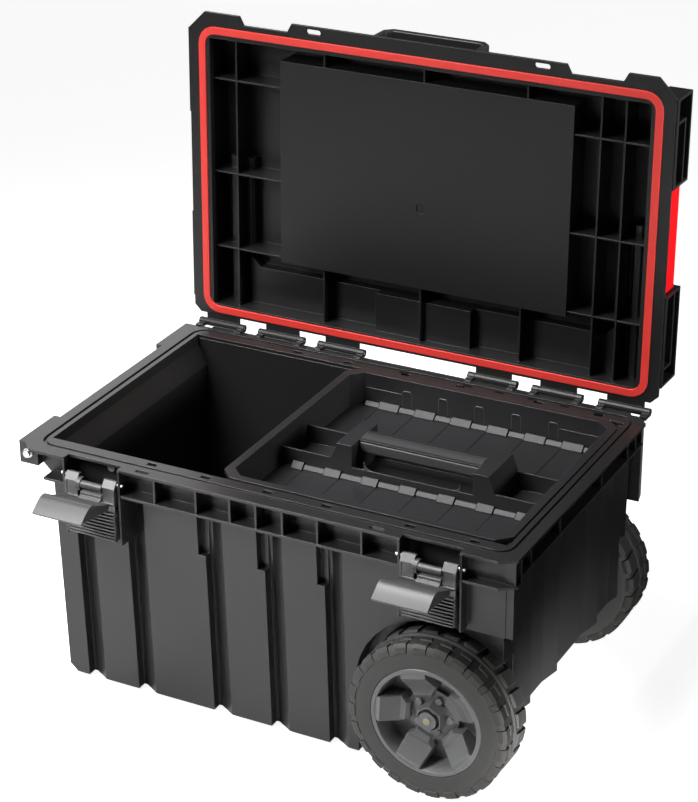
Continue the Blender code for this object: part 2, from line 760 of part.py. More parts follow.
def add_fins(adds):
    """Thin upright fins that tie the rim to its lower lips."""
    top = RIM_TOP - RIM_THICKNESS / 2
    half = FIN_THICKNESS / 2
    low = RIM_TOP - FRONT_LIP_DROP + LIP_THICKNESS / 2
    for number, middle in enumerate(FINS_X):
        start = middle - half
        end = middle + half
        box(f"front_fin_{number}", (start, RIM_FRONT + half, low), (end, -RIB_ROOT_Y, top), adds)
        box(f"back_fin_{number}", (start, RIB_ROOT_Y, low), (end, RIM_BACK - half, top), adds)
    low = RIM_TOP - END_LIP_DROP + LIP_THICKNESS / 2
    for number, middle in enumerate(FINS_Y):
        start = (END_ROOT_X, middle - half, low)
        box(f"end_fin_{number}", start, (RIM_RIGHT - half, middle + half, top), adds)


def add_corner_panels(adds):
    """Deep panels at the wheel end's two corners, each with a crease near its end."""
    start = LATCHES_X[1] + CHEEK_MIDDLE
    low = RIM_TOP - CORNER_PANEL_DROP
    top = RIM_TOP - RIM_THICKNESS / 2
    cell_floor = RIM_TOP - FRONT_LIP_DROP + LIP_THICKNESS / 2
    outer = RIM_RIGHT - CORNER_END_INSETS[0]
    inner = RIM_RIGHT - CORNER_END_INSETS[1]
    root = CORNER_CREASE_X - OVERLAP
    for side, sign, level in (("front", -1, cell_floor), ("back", 1, top)):
        near, far = sorted((sign * CORNER_PANEL_INNER_Y, sign * CORNER_PANEL_Y))
        box(f"{side}_corner_panel", (start, near, low), (CORNER_CREASE_X, far, top), adds)
        face = sign * (CORNER_PANEL_Y - CORNER_CREASE_STEP)
        back = sign * CORNER_PANEL_INNER_Y
        outline = [(root, face), (outer, face), (inner, back), (root, back)]
        prism(f"{side}_corner_end", [outline[::-sign]], low, level, "Z", adds)


def add_corner_cell(adds):
    """A small open cell over the front corner panel, between two fins, with a pin in it."""
    root = CORNER_CREASE_X - OVERLAP
    low = RIM_TOP - FRONT_LIP_DROP
    top = RIM_TOP - RIM_THICKNESS / 2
    half = FIN_THICKNESS / 2
    far = FINS_Y[0] + half
    box("cell_fin", (root, CELL_FIN_Y - half, low), (RIM_RIGHT - CELL_FIN_INSET, CELL_FIN_Y + half, top), adds)
    box("cell_end", (root, FINS_Y[0] - half, low), (RIM_RIGHT - half, far, top), adds)
    box("cell_floor", (root, CELL_FIN_Y - half, low), (RIM_RIGHT - half, far, low + LIP_THICKNESS), adds)
    middle = (CELL_FIN_Y + FINS_Y[0]) / 2
    centre = (middle, RIM_TOP - CELL_PIN_DROP)
    end = RIM_RIGHT - CELL_FIN_INSET
    cylinder("cell_pin", CELL_PIN_RADIUS, root, end, centre, "X", adds, steps=PIN_STEPS)


def add_latch_cheeks(adds):
    """Two cheeks for each latch, which hold its pins."""
    low = RIM_TOP - LATCH_CHEEK_DROP
    top = RIM_TOP - RIM_THICKNESS / 2
    for middle in LATCHES_X:
        for side in (-1, 1):
            near = middle + side * LATCH_CHEEK_INNER
            far = near + side * LATCH_CHEEK_THICKNESS
            start, end = sorted((near, far))
            name = f"latch_cheek_{near:.3f}"
            box(name, (start, LATCH_CHEEK_FRONT, low), (end, -RIB_ROOT_Y, top), adds)


def add_ears(adds):
    """Blocks on the tow end whose bolts carry the tow handle."""
    for sign in (-1, 1):
        near, far = sorted((sign * EAR_INNER_Y, sign * EAR_OUTER_Y))
        low = RIM_TOP - EAR_DROP
        box(f"ear_{sign}", (EAR_X, near, low), (SHOULDER_X + OVERLAP, far, RIM_TOP), adds)


def add_hinge_knuckles(adds):
    """Two knuckles on the rim's back edge for each tab of the lid."""
    height = RIM_TOP + HINGE_RISE
    inset = OVERLAP / 4
    for start, end in HINGE_TABS_X:
        for sign in (-1, 1):
            for edge, side in ((start, -1), (end, 1)):
                near = sign * (edge + side * RUNNING_GAP)
                far = sign * (edge + side * (RUNNING_GAP + KNUCKLE_WIDTH))
                low, high = sorted((near, far))
                name = f"knuckle_{near:.4f}"
                centre = (HINGE_Y, height)
                cylinder(name, KNUCKLE_RADIUS, low, high, centre, "X", adds, steps=PIN_STEPS)
                foot = (low + inset, RIM_BACK - OVERLAP, RIM_TOP - RIM_THICKNESS + inset)
                box(name + "_foot", foot, (high - inset, HINGE_Y, height), adds)


def add_skids(adds):
    """Runners under the tub that it stands on, the middle one on the centre line."""
    half = SKID_WIDTH / 2
    for number, middle in enumerate((-SKID_OFFSET_Y, 0.0, SKID_OFFSET_Y)):
        start = (LEFT_WALL_X + SKID_INSET, middle - half, 0.0)
        end = (DEEP_END_X - SKID_INSET, middle + half, FLOOR_UNDERSIDE + OVERLAP)
        box(f"skid_{number}", start, end, adds)


def add_inside_ledges(adds):
    """Ledges inside the mouth that the tray's rim rests on."""
    low = LEDGE_Z - LEDGE_HEIGHT
    for sign in (-1, 1):
        near, far = sorted((sign * (MOUTH_HALF_Y - LEDGE_WIDTH), sign * (MOUTH_HALF_Y + OVERLAP)))
        end = RIGHT_WALL_X - OVERLAP
        box(f"side_ledge_{sign}", (TRAY_LEFT, near, low), (end, far, LEDGE_Z), adds)
    start = MOUTH_HALF_X - LEDGE_WIDTH
    half = MOUTH_HALF_Y
    box("end_ledge", (start, -half, low), (RIGHT_WALL_X - OVERLAP, half, LEDGE_Z), adds)


def add_axle_bosses(adds):
    """Bosses on the inner walls of the wheel wells, which carry the axle."""
    for sign in (-1, 1):
        near, far = sorted((sign * (WELL_INNER_Y - AXLE_BOSS_LENGTH), sign * WELL_INNER_Y))
        centre = (WHEEL_X, AXLE_Z)
        cylinder(f"axle_boss_{sign}", AXLE_BOSS_RADIUS, near, far, centre, "Y", adds)


def hollow_shape(hollow):
    """The space inside the tub: a deep end, and a raised end over the axle."""
    floor = FLOOR_UNDERSIDE + WALL
    top = RIM_TOP + PASS
    raised = RAISED_FLOOR + WALL
    slope = WALL * math.sqrt(2)
    outline = [
        (-MOUTH_HALF_X, top),
        (-MOUTH_HALF_X, RIM_TOP - SHOULDER_DROP + SHOULDER_CHAMFER - MOUTH_HALF_X - SHOULDER_X + slope),
        (LEFT_WALL_X + WALL, RIM_TOP - SHOULDER_DROP + slope - WALL),
        (LEFT_WALL_X + WALL, floor),
        (DEEP_END_X - WALL, floor),
        (DEEP_END_X - WALL, raised),
        (RIGHT_WALL_X - WALL, raised),
        (RIGHT_WALL_X - WALL, top),
    ]
    cavity = prism("cavity", [outline], -MOUTH_HALF_Y, MOUTH_HALF_Y, "Y", hollow)
    for corner in cavity.data.vertices:
        corner.co.z *= lean_at((cavity.matrix_world @ corner.co).z)
    casing = new_collection("wheel_well_casing", CUTTERS)
    for sign in (-1, 1):
        near, far = sorted((sign * (WELL_INNER_Y - WALL), sign * (WHEEL_OUTER_Y + PASS)))
        centre = (WHEEL_X, AXLE_Z)
        cylinder(f"well_casing_{sign}", ARCH_RADIUS + WALL, near, far, centre, "Y", casing, steps=WELL_STEPS)
    combine(cavity, casing, "DIFFERENCE")


def cut_wheel_end(cuts):
    """Wheel wells, and the pocket under the raised end."""
    for sign in (-1, 1):
        near, far = sorted((sign * WELL_INNER_Y, sign * (WHEEL_OUTER_Y + PASS)))
        centre = (WHEEL_X, AXLE_Z)
        cylinder(f"wheel_well_{sign}", ARCH_RADIUS, near, far, centre, "Y", cuts, steps=WELL_STEPS)
    half = WHEEL_OUTER_Y + PASS
    end = (RIM_RIGHT + PASS, half, SKIRT_BOTTOM)
    box("raised_end_cut", (DEEP_END_X, -half, -PASS), end, cuts)
    half = WELL_INNER_Y - WALL
    start = (DEEP_END_X, -half, SKIRT_BOTTOM - PASS)
    box("raised_end_pocket", start, (RIGHT_WALL_X - WALL, half, RAISED_FLOOR), cuts)


def cut_rim(cuts):
    """The seal groove, the small holes and the slots in the rim, and its mouth."""
    half = GROOVE_WIDTH / 2
    outer = rounded_rectangle(SEAL_HALF_X + half, SEAL_HALF_Y + half, SEAL_CORNER + half)
    inner = rounded_rectangle(SEAL_HALF_X - half, SEAL_HALF_Y - half, SEAL_CORNER - half)
    top = RIM_TOP + PASS
    prism("seal_groove", [outer, inner], RIM_TOP - GROOVE_DEPTH, top, "Z", cuts)
    reach_x = RIM_HOLE_LENGTH / 2
    reach_y = RIM_HOLE_WIDTH / 2
    for number, middle in enumerate(RIM_HOLES_X):
        for sign in (-1, 1):
            low = (middle - reach_x, sign * RIM_HOLE_Y - reach_y, RIM_TOP - RIM_HOLE_DEPTH)
            high = (middle + reach_x, sign * RIM_HOLE_Y + reach_y, top)
            box(f"rim_hole_{number}_{sign}", low, high, cuts)
    for number, middle in enumerate(SLOTS_X):
        outline = oval(SLOT_LENGTH, SLOT_WIDTH, (middle, SLOT_Y))
        prism(f"rim_slot_{number}", [outline], RIM_TOP - 2 * RIM_THICKNESS, top, "Z", cuts)
    low = (-MOUTH_HALF_X, -MOUTH_HALF_Y, LEDGE_Z)
    box("mouth", low, (MOUTH_HALF_X, MOUTH_HALF_Y, top), cuts)


def cut_latch_recesses(cuts):
    """The hollow behind each latch, between its cheeks."""
    for middle in LATCHES_X:
        low = RIM_TOP - LATCH_CHEEK_DROP - PASS
        start = (middle - LATCH_CHEEK_INNER, LATCH_CHEEK_FRONT - PASS, low)
        end = (middle + LATCH_CHEEK_INNER, RECESS_BACK_Y, RIM_TOP - RIM_THICKNESS)
        box(f"latch_recess_{middle}", start, end, cuts)


def cut_ridge_steps(cuts):
    """The upper part of the last ridges is set back towards the tow end."""
    top = RIM_TOP - FRONT_LIP_DROP + LIP_THICKNESS / 2
    for ridge in RIDGES_X[-STEPPED_RIDGES:]:
        for sign in (-1, 1):
            near, far = sorted((sign * (PANEL_HALF_Y - RIDGE_DEPTH), sign * (PANEL_HALF_Y + PASS)))
            low = (ridge - RIDGE_STEP, near, RIM_TOP - RIDGE_STEP_DROP)
            box(f"ridge_step_{ridge}_{sign}", low, (ridge + OVERLAP, far, top), cuts)


def cut_foot_chamfer(cuts):
    """The tow end's lower edge is bevelled off."""
    reach = FOOT_CHAMFER + PASS
    chamfer = [
        (LEFT_WALL_X - PASS, FLOOR_UNDERSIDE - PASS),
        (LEFT_WALL_X + reach, FLOOR_UNDERSIDE - PASS),
        (LEFT_WALL_X - PASS, FLOOR_UNDERSIDE + reach),
    ]
    half = PANEL_HALF_Y + PASS
    prism("foot_chamfer", [chamfer], -half, half, "Y", cuts)


def cut_holes(cuts):
    """Holes for the axle, the latch pins, the hinge pins and the tow bolts."""
    reach = WHEEL_OUTER_Y + PASS
    radius = AXLE_RADIUS + PIN_CLEARANCE
    cylinder("axle_hole", radius, -reach, reach, (WHEEL_X, AXLE_Z), "Y", cuts)
    radius = LATCH_PIN_RADIUS + PIN_CLEARANCE
    for middle in LATCHES_X:
        reach = LATCH_PIN_END + PASS
        centre = (LATCH_PIN_Y, LATCH_PIN_Z)
        name = f"latch_pin_hole_{middle}"
        cylinder(name, radius, middle - reach, middle + reach, centre, "X", cuts, steps=PIN_STEPS)
    radius = HINGE_PIN_RADIUS + PIN_CLEARANCE
    centre = (HINGE_Y, RIM_TOP + HINGE_RISE)
    for number, (start, end) in enumerate(HINGE_TABS_X):
        for sign in (-1, 1):
            near = sign * (start - KNUCKLE_WIDTH - OVERLAP)
            far = sign * (end + KNUCKLE_WIDTH + OVERLAP)
            low, high = sorted((near, far))
            name = f"hinge_hole_{number}_{sign}"
            cylinder(name, radius, low, high, centre, "X", cuts, steps=HINGE_PIN_STEPS)
    radius = TOW_BOLT_RADIUS + PIN_CLEARANCE
    centre = (TOW_PIVOT_X, RIM_TOP - TOW_PIVOT_DROP)
    for sign in (-1, 1):
        near, far = sorted((sign * (EAR_INNER_Y - PASS), sign * (EAR_OUTER_Y + PASS)))
        cylinder(f"tow_bolt_hole_{sign}", radius, near, far, centre, "Y", cuts, steps=PIN_STEPS)


def build_tub():
    """The tub as one moulded piece: walls, rim, cheeks, ears, knuckles and wheel wells."""
    tub = build_tub_body()
    steps = new_collection("tub_ridge_steps", CUTTERS)
    cut_ridge_steps(steps)
    cut_foot_chamfer(steps)
    combine(tub, steps, "DIFFERENCE")
    outside = new_collection("tub_outside", CUTTERS)
    add_rim(outside)
    add_fins(outside)
    add_corner_panels(outside)
    add_corner_cell(outside)
    add_latch_cheeks(outside)
    add_ears(outside)
    add_hinge_knuckles(outside)
    add_skids(outside)
    combine(tub, outside, "UNION")
    hollows = new_collection("tub_hollows", CUTTERS)
    hollow_shape(hollows)
    cut_wheel_end(hollows)
    cut_rim(hollows)
    cut_latch_recesses(hollows)
    combine(tub, hollows, "DIFFERENCE")
    inside = new_collection("tub_inside", CUTTERS)
    add_inside_ledges(inside)
    add_axle_bosses(inside)
    combine(tub, inside, "UNION")
    holes = new_collection("tub_holes", CUTTERS)
    cut_holes(holes)
    combine(tub, holes, "DIFFERENCE")
    return finish(tub, BLACK, 0.45)


def lid_outline():
    """The lid's flange: corner blocks and a front bar, with a strip set back for each latch."""
    strip_left, strip_right = LID_STRIP_X
    bar_left, bar_right = LID_BAR_X
    cut = LID_BAR_CHAMFER
    front = LID_FRONT_CHAMFER
    back = LID_BACK_CHAMFER
    return [
        (-LID_HALF_X, LID_BAR_Y + front),
        (-LID_HALF_X + front, LID_BAR_Y),
        (strip_left - cut, LID_BAR_Y),
        (strip_left, LID_STRIP_Y),
        (bar_left, LID_STRIP_Y),
        (bar_left + cut, LID_BAR_Y),
        (bar_right - cut, LID_BAR_Y),
        (bar_right, LID_STRIP_Y),
        (strip_right, LID_STRIP_Y),
        (strip_right + cut, LID_BAR_Y),
        (LID_HALF_X - front, LID_BAR_Y),
        (LID_HALF_X, LID_BAR_Y + front),
        (LID_HALF_X, LID_BACK_Y - back),
        (LID_HALF_X - back, LID_BACK_Y),
        (-LID_HALF_X + back, LID_BACK_Y),
        (-LID_HALF_X, LID_BACK_Y - back),
    ]


def add_lid_outside(adds, place):
    """The lid's box, its open corner blocks, the band backing and the hinge tabs."""
    body_x = LID_CAVITY_X + LID_WALL
    front = LID_CAVITY_FRONT - LID_WALL
    back = LID_CAVITY_BACK + LID_WALL
    low = LID_FACE + OVERLAP
    box("lid_box", (-body_x, front, low), (body_x, back, LID_HEIGHT), adds, place)
    root = body_x - OVERLAP
    for sign in (-1, 1):
        start, end = sorted((sign * root, sign * CORNER_BLOCK_X))
        for number, (near, far) in enumerate(CORNER_BLOCKS_Y):
            foot = (start, near, LID_FACE + LID_FLANGE_THICKNESS / 2)
            box(f"corner_block_{number}_{sign}", foot, (end, far, LID_HEIGHT), adds, place)
        start, end = sorted((sign * root, sign * BAND_BACKING_X))
        low = (start, BAND_Y[0] - BAND_FRAME, BAND_Z[0] - BAND_FRAME)
        high = (end, BAND_Y[1] + BAND_FRAME, BAND_Z[1] + BAND_FRAME)
        box(f"band_backing_{sign}", low, high, adds, place)
    for tab_start, tab_end in HINGE_TABS_X:
        for sign in (-1, 1):
            low, high = sorted((sign * tab_start, sign * tab_end))
            name = f"hinge_tab_{low:.3f}"
            centre = (HINGE_Y, HINGE_RISE)
            cylinder(name, KNUCKLE_RADIUS, low, high, centre, "X", adds, place, steps=PIN_STEPS)
            top = HINGE_RISE + KNUCKLE_RADIUS
            foot = (low, back - OVERLAP, top - TAB_THICKNESS)
            box(name + "_web", foot, (high, HINGE_Y, top), adds, place)


def corner_pockets(number):
    """Where a corner block is open to the end: its inner cell, the end cell and the upper cell.
    Each is its reach along Y and then its reach along Z."""
    near, far = CORNER_BLOCKS_Y[number]
    wall = CORNER_BLOCK_WALL
    low = LID_FACE + LID_FLANGE_THICKNESS + wall
    high = LID_HEIGHT - wall
    level = LID_HEIGHT - CORNER_SPLIT_DROP
    length = CORNER_SPLIT_LENGTHS[number]
    if number == 0:
        split = near + length
        inner = (split + wall / 2, far - wall, low, level - wall / 2)
        end = (near + wall, split - wall / 2, low, high)
        upper = (split - wall, far - wall, level + wall / 2, high)
    else:
        split = far - length
        inner = (near + wall, split - wall / 2, low, level - wall / 2)
        end = (split + wall / 2, far - wall, low, high)
        upper = (near + wall, split + wall, level + wall / 2, high)
    return inner, end, upper


def cut_lid_inside(cuts, place):
    """The lid's hollow underside, and the seat that the seal sits in."""
    low = (-LID_CAVITY_X, LID_CAVITY_FRONT, -PASS)
    high = (LID_CAVITY_X, LID_CAVITY_BACK, LID_HEIGHT - LID_WALL)
    box("lid_cavity", low, high, cuts, place)
    half = SEAL_WIDTH / 2 + RUNNING_GAP
    outer = rounded_rectangle(SEAL_HALF_X + half, SEAL_HALF_Y + half, SEAL_CORNER + half)
    inner = rounded_rectangle(SEAL_HALF_X - half, SEAL_HALF_Y - half, SEAL_CORNER - half)
    top = LID_FACE + SEAL_SEAT_DEPTH
    prism("seal_seat", [outer, inner], -PASS, top, "Z", cuts, place)
    for number, middle in enumerate(LID_SLOTS_X):
        outline = oval(LID_SLOT_LENGTH, LID_SLOT_WIDTH, (middle, LID_SLOT_Y))
        prism(f"lid_slot_{number}", [outline], -PASS, LID_HEIGHT / 2, "Z", cuts, place)
    for sign in (-1, 1):
        start, end = sorted((sign * (LID_HALF_X - CORNER_POCKET), sign * (CORNER_BLOCK_X + PASS)))
        for number in range(len(CORNER_BLOCKS_Y)):
            for part, (near, far, low, high) in enumerate(corner_pockets(number)):
                name = f"corner_pocket_{number}_{part}_{sign}"
                box(name, (start, near, low), (end, far, high), cuts, place)


def shelf_outline(shrink):
    """The lid's step along the hinges in plan, drawn in by shrink, and past the back."""
    half = SHELF_HALF_X - shrink
    front = SHELF_FRONT + shrink
    cut = SHELF_CHAMFER
    back = LID_CAVITY_BACK + OVERLAP
    return [
        (-half - cut, back),
        (-half - cut, front - cut),
        (-half, front),
        (half, front),
        (half + cut, front - cut),
        (half + cut, back),
    ]


def add_lid_shelf(adds, place):
    """The step in the lid's top along the hinges, seen from below, and its lower middle."""
    top = LID_HEIGHT - LID_WALL / 2
    prism("lid_shelf", [shelf_outline(0.0)], SHELF_LEVEL, top, "Z", adds, place)
    low = (-STEP_HALF_X, SHELF_FRONT - STEP_PROUD, STEP_LEVEL)
    box("shelf_step", low, (STEP_HALF_X, LID_CAVITY_BACK + OVERLAP, SHELF_LEVEL + OVERLAP), adds, place)


def add_lid_ridges(adds, place):
    """Two low ridges at each end of the lid, between the middle rib and the hinges."""
    top = LID_HEIGHT - LID_WALL / 2
    cut = RIDGE_CHAMFER
    ends = (LID_CAVITY_BACK + OVERLAP / 2, LID_RIBS_Y[2])
    for number, (inset, width, end) in enumerate(zip(RIDGE_INSETS, RIDGE_WIDTHS, ends)):
        for sign in (-1, 1):
            far = LID_CAVITY_X - inset
            near = far - width
            outline = [
                (sign * near, top),
                (sign * near, RIDGE_LEVEL + cut),
                (sign * (near + cut), RIDGE_LEVEL),
                (sign * (far - cut), RIDGE_LEVEL),
                (sign * far, RIDGE_LEVEL + cut),
                (sign * far, top),
            ]
            prism(f"lid_ridge_{number}_{sign}", [outline], RIDGE_START, end, "Y", adds, place)


def cut_shelf_top(cuts, place):
    """The step in the lid's top, seen from above, over the shelf inside."""
    wall = SHELF_WALL
    half = SHELF_HALF_X - wall
    back = LID_BACK_Y + PASS
    low = (-half, SHELF_FRONT + wall, SHELF_LEVEL + wall)
    box("shelf_top", low, (half, back, LID_HEIGHT + PASS), cuts, place)
    half = STEP_HALF_X - wall
    low = (-half, SHELF_FRONT + wall, STEP_LEVEL + wall)
    box("step_top", low, (half, back, SHELF_LEVEL + wall + OVERLAP), cuts, place)


def add_lid_inside(adds, place):
    """The sunken well's casing, the ribs round it, and the step along the hinges."""
    root = OVERLAP / 2
    top = LID_HEIGHT - LID_WALL / 2
    low = (-WELL_HALF_X, WELL_FRONT, WELL_FACE)
    box("well_casing", low, (WELL_HALF_X, WELL_BACK, top), adds, place)
    half = LID_RIB_THICKNESS / 2
    for number, middle in enumerate(LID_RIBS_Y):
        for sign in (-1, 1):
            near, far = sorted((sign * (WELL_HALF_X - root), sign * (LID_CAVITY_X + root)))
            low = (near, middle - half, LID_RIB_EDGE)
            box(f"cross_rib_{number}_{sign}", low, (far, middle + half, top), adds, place)
    for number, middle in enumerate(LID_LONG_RIBS_X):
        low = (middle - half, LID_CAVITY_FRONT - root, LID_RIB_EDGE)
        high = (middle + half, LID_CAVITY_BACK + root, top)
        box(f"long_rib_{number}", low, high, adds, place)
    add_lid_shelf(adds, place)
    add_lid_ridges(adds, place)
    for number, middle in enumerate(LID_SHORT_RIBS_X):
        spans = ((LID_CAVITY_FRONT - root, WELL_FRONT + root), (WELL_BACK - root, LID_CAVITY_BACK + root))
        for side, (near, far) in enumerate(spans):
            low = (middle - half, near, LID_RIB_EDGE)
            box(f"short_rib_{number}_{side}", low, (middle + half, far, top), adds, place)


def cut_lid_top(cuts, place):
    """The sunken well in the lid's top, and the holes for the hinge pins."""
    wall = WELL_WALL
    low = (-WELL_HALF_X + wall, WELL_FRONT + wall, WELL_FACE + wall)
    high = (WELL_HALF_X - wall, WELL_BACK - wall, LID_HEIGHT + PASS)
    box("lid_well", low, high, cuts, place)
    cut_shelf_top(cuts, place)
    centre = (0.0, (WELL_FRONT + WELL_BACK) / 2 + PANEL_BOSS_OFFSET)
    top = WELL_FACE + PANEL_BOSS_DEPTH
    radius = PANEL_BOSS_RADIUS
    cylinder("panel_dimple", radius, -PASS, top, centre, "Z", cuts, place, steps=PIN_STEPS)
    radius = HINGE_PIN_RADIUS + PIN_CLEARANCE
    for number, (start, end) in enumerate(HINGE_TABS_X):
        for sign in (-1, 1):
            near, far = sorted((sign * (start - OVERLAP), sign * (end + OVERLAP)))
            centre = (HINGE_Y, HINGE_RISE)
            name = f"tab_hole_{number}_{sign}"
            cylinder(name, radius, near, far, centre, "X", cuts, place, steps=HINGE_PIN_STEPS)


def build_lid(place):
    """The lid, the way it lies closed, in a place that stands it open."""
    low = LID_FACE
    lid = prism("lid", [lid_outline()], low, low + LID_FLANGE_THICKNESS, "Z", PARTS, place)
    outside = new_collection("lid_outside", CUTTERS)
    add_lid_outside(outside, place)
    combine(lid, outside, "UNION")
    hollow = new_collection("lid_hollow", CUTTERS)
    cut_lid_inside(hollow, place)
    combine(lid, hollow, "DIFFERENCE")
    inside = new_collection("lid_inside", CUTTERS)
    add_lid_inside(inside, place)
    combine(lid, inside, "UNION")
    top = new_collection("lid_top", CUTTERS)
    cut_lid_top(top, place)
    combine(lid, top, "DIFFERENCE")
    return finish(lid, BLACK, 0.45)


def build_seal(place):
    """The rubber seal in the lid's seat, which presses on the rim."""
    half = SEAL_WIDTH / 2
    outer = rounded_rectangle(SEAL_HALF_X + half, SEAL_HALF_Y + half, SEAL_CORNER + half)
    inner = rounded_rectangle(SEAL_HALF_X - half, SEAL_HALF_Y - half, SEAL_CORNER - half)
    top = LID_FACE + SEAL_SEAT_DEPTH - RUNNING_GAP
    seal = prism("lid_seal", [outer, inner], SEAL_RISE, top, "Z", PARTS, place)
    finish(seal, RED, 0.5)


def build_carry_handle(place):
    """A fixed grip bar on two arms, on the front of the lid."""
    wall = LID_CAVITY_FRONT - LID_WALL - RUNNING_GAP
    half = CARRY_HALF_WIDTH
    cut = CARRY_CHAMFER
    arm = CARRY_ARM
    low = LID_FACE + LID_FLANGE_THICKNESS + RUNNING_GAP
    inner = LID_HEIGHT - CARRY_BAR
    outline = [
        (-half, low),
        (-half, LID_HEIGHT - cut),
        (-half + cut, LID_HEIGHT),
        (half - cut, LID_HEIGHT),
        (half, LID_HEIGHT - cut),
        (half, low),
        (half - arm, low),
        (half - arm, inner - cut + arm / 2),
        (half - cut - arm / 2, inner),
        (-half + cut + arm / 2, inner),
        (-half + arm, inner - cut + arm / 2),
        (-half + arm, low),
    ]
    front = CARRY_OUTER_Y
    back = CARRY_OUTER_Y + CARRY_GRIP
    handle = prism("lid_carry_handle", [outline], front, back, "Y", PARTS, place)
    arms = new_collection("carry_arms", CUTTERS)
    for sign in (-1, 1):
        near, far = sorted((sign * (half - arm), sign * half))
        box(f"carry_arm_{sign}", (near, back - OVERLAP, low), (far, wall, LID_HEIGHT - cut), arms, place)
    combine(handle, arms, "UNION")
    finish(handle, BLACK, 0.4)


def build_side_bands(place):
    """A coloured band in the middle of each end of the lid."""
    for side, sign in (("left", -1), ("right", 1)):
        near = sign * (BAND_BACKING_X + RUNNING_GAP)
        far = sign * (BAND_BACKING_X + RUNNING_GAP + BAND_THICKNESS)
        near, far = sorted((near, far))
        low = (near, BAND_Y[0], BAND_Z[0])
        band = box(f"lid_band_{side}", low, (far, BAND_Y[1], BAND_Z[1]), PARTS, place)
        finish(band, RED, 0.35)


def build_hinge_pins():
    """One short pin for each hinge tab."""
    number = 0
    centre = (HINGE_Y, RIM_TOP + HINGE_RISE)
    for sign in (-1, 1):
        for start, end in HINGE_TABS_X:
            number += 1
            near = sign * (start - KNUCKLE_WIDTH)
            far = sign * (end + KNUCKLE_WIDTH)
            low, high = sorted((near, far))
            name = f"hinge_pin_{number}"
            pin = cylinder(name, HINGE_PIN_RADIUS, low, high, centre, "X", PARTS, steps=HINGE_PIN_STEPS)
            finish(pin, ZINC, 0.3, 1.0)


def tray_walls(shrink):
    """The tray's body in plan, its rim's land and more drawn in by shrink."""
    inset = TRAY_LAND + shrink
    left = TRAY_LEFT + inset
    right = TRAY_RIGHT - inset
    half = TRAY_HALF_Y - inset
    return chamfered_rectangle(left, right, -half, half, TRAY_CHAMFER - shrink / 2)


def cut_tray_pockets(cuts, place):
    """Two long compartments, two small ones beside the grip, and the grip's finger space."""
    wall = TRAY_WALL
    floor = TRAY_PROUD - TRAY_DEPTH + wall
    top = TRAY_PROUD + PASS
    left = TRAY_LEFT + TRAY_LAND + wall
    right = TRAY_RIGHT - TRAY_LAND - wall
    half = TRAY_HALF_Y - TRAY_LAND - wall
    divider = TRAY_DIVIDER_Y
    cut = TRAY_CHAMFER - wall / 2
    for sign in (-1, 1):
        outline = [
            (left, sign * (divider + wall / 2)),
            (left, sign * (half - cut)),
            (left + cut, sign * half),
            (right - cut, sign * half),
            (right, sign * (half - cut)),
            (right, sign * (divider + wall / 2)),
        ]
        prism(f"long_pocket_{sign}", [outline], floor, top, "Z", cuts, place)
    inner = divider - wall / 2
    low_divider = -TRAY_DIVIDER_DROP
    foot_left = GRIP_LEFT - GRIP_SPREAD
    foot_right = GRIP_RIGHT + GRIP_SPREAD
    box("left_pocket", (left, -inner, floor), (foot_left, inner, low_divider + OVERLAP), cuts, place)
    box("right_pocket", (foot_right, -inner, floor), (right, inner, low_divider + OVERLAP), cuts, place)
    reach = divider + wall
    left_gap = [
        (left, low_divider),
        (foot_left, low_divider),
        (GRIP_LEFT, top),
        (left, top),
    ]
    right_gap = [
        (foot_right, low_divider),
        (right, low_divider),
        (right, top),
        (GRIP_RIGHT, top),
    ]
    prism("left_gap", [left_gap], -reach, reach, "Y", cuts, place)
    prism("right_gap", [right_gap], -reach, reach, "Y", cuts, place)
    start = GRIP_LEFT + GRIP_POST
    end = GRIP_RIGHT - GRIP_POST
    under = -GRIP_BAR_HEIGHT
    box("grip_space", (start, -inner, floor), (end, inner, under), cuts, place)
    for sign in (-1, 1):
        near, far = sorted((sign * GRIP_BAR_HALF_Y, sign * reach))
        box(f"finger_space_{sign}", (start, near, -GRIP_OPENING_DROP), (end, far, top), cuts, place)


def build_tray(place):
    """The lift-out tray that hangs in the mouth of the tub by its rim."""
    rim = chamfered_rectangle(TRAY_LEFT, TRAY_RIGHT, -TRAY_HALF_Y, TRAY_HALF_Y, TRAY_CHAMFER)
    low = -LEDGE_DROP + RUNNING_GAP
    tray = prism("tray", [rim], low, TRAY_PROUD, "Z", PARTS, place)
    adds = new_collection("tray_body", CUTTERS)
    prism("tray_walls", [tray_walls(0.0)], TRAY_PROUD - TRAY_DEPTH, low + OVERLAP, "Z", adds, place)
    combine(tray, adds, "UNION")
    cuts = new_collection("tray_pockets", CUTTERS)
    cut_tray_pockets(cuts, place)
    combine(tray, cuts, "DIFFERENCE")
    return finish(tray, BLACK, 0.4)


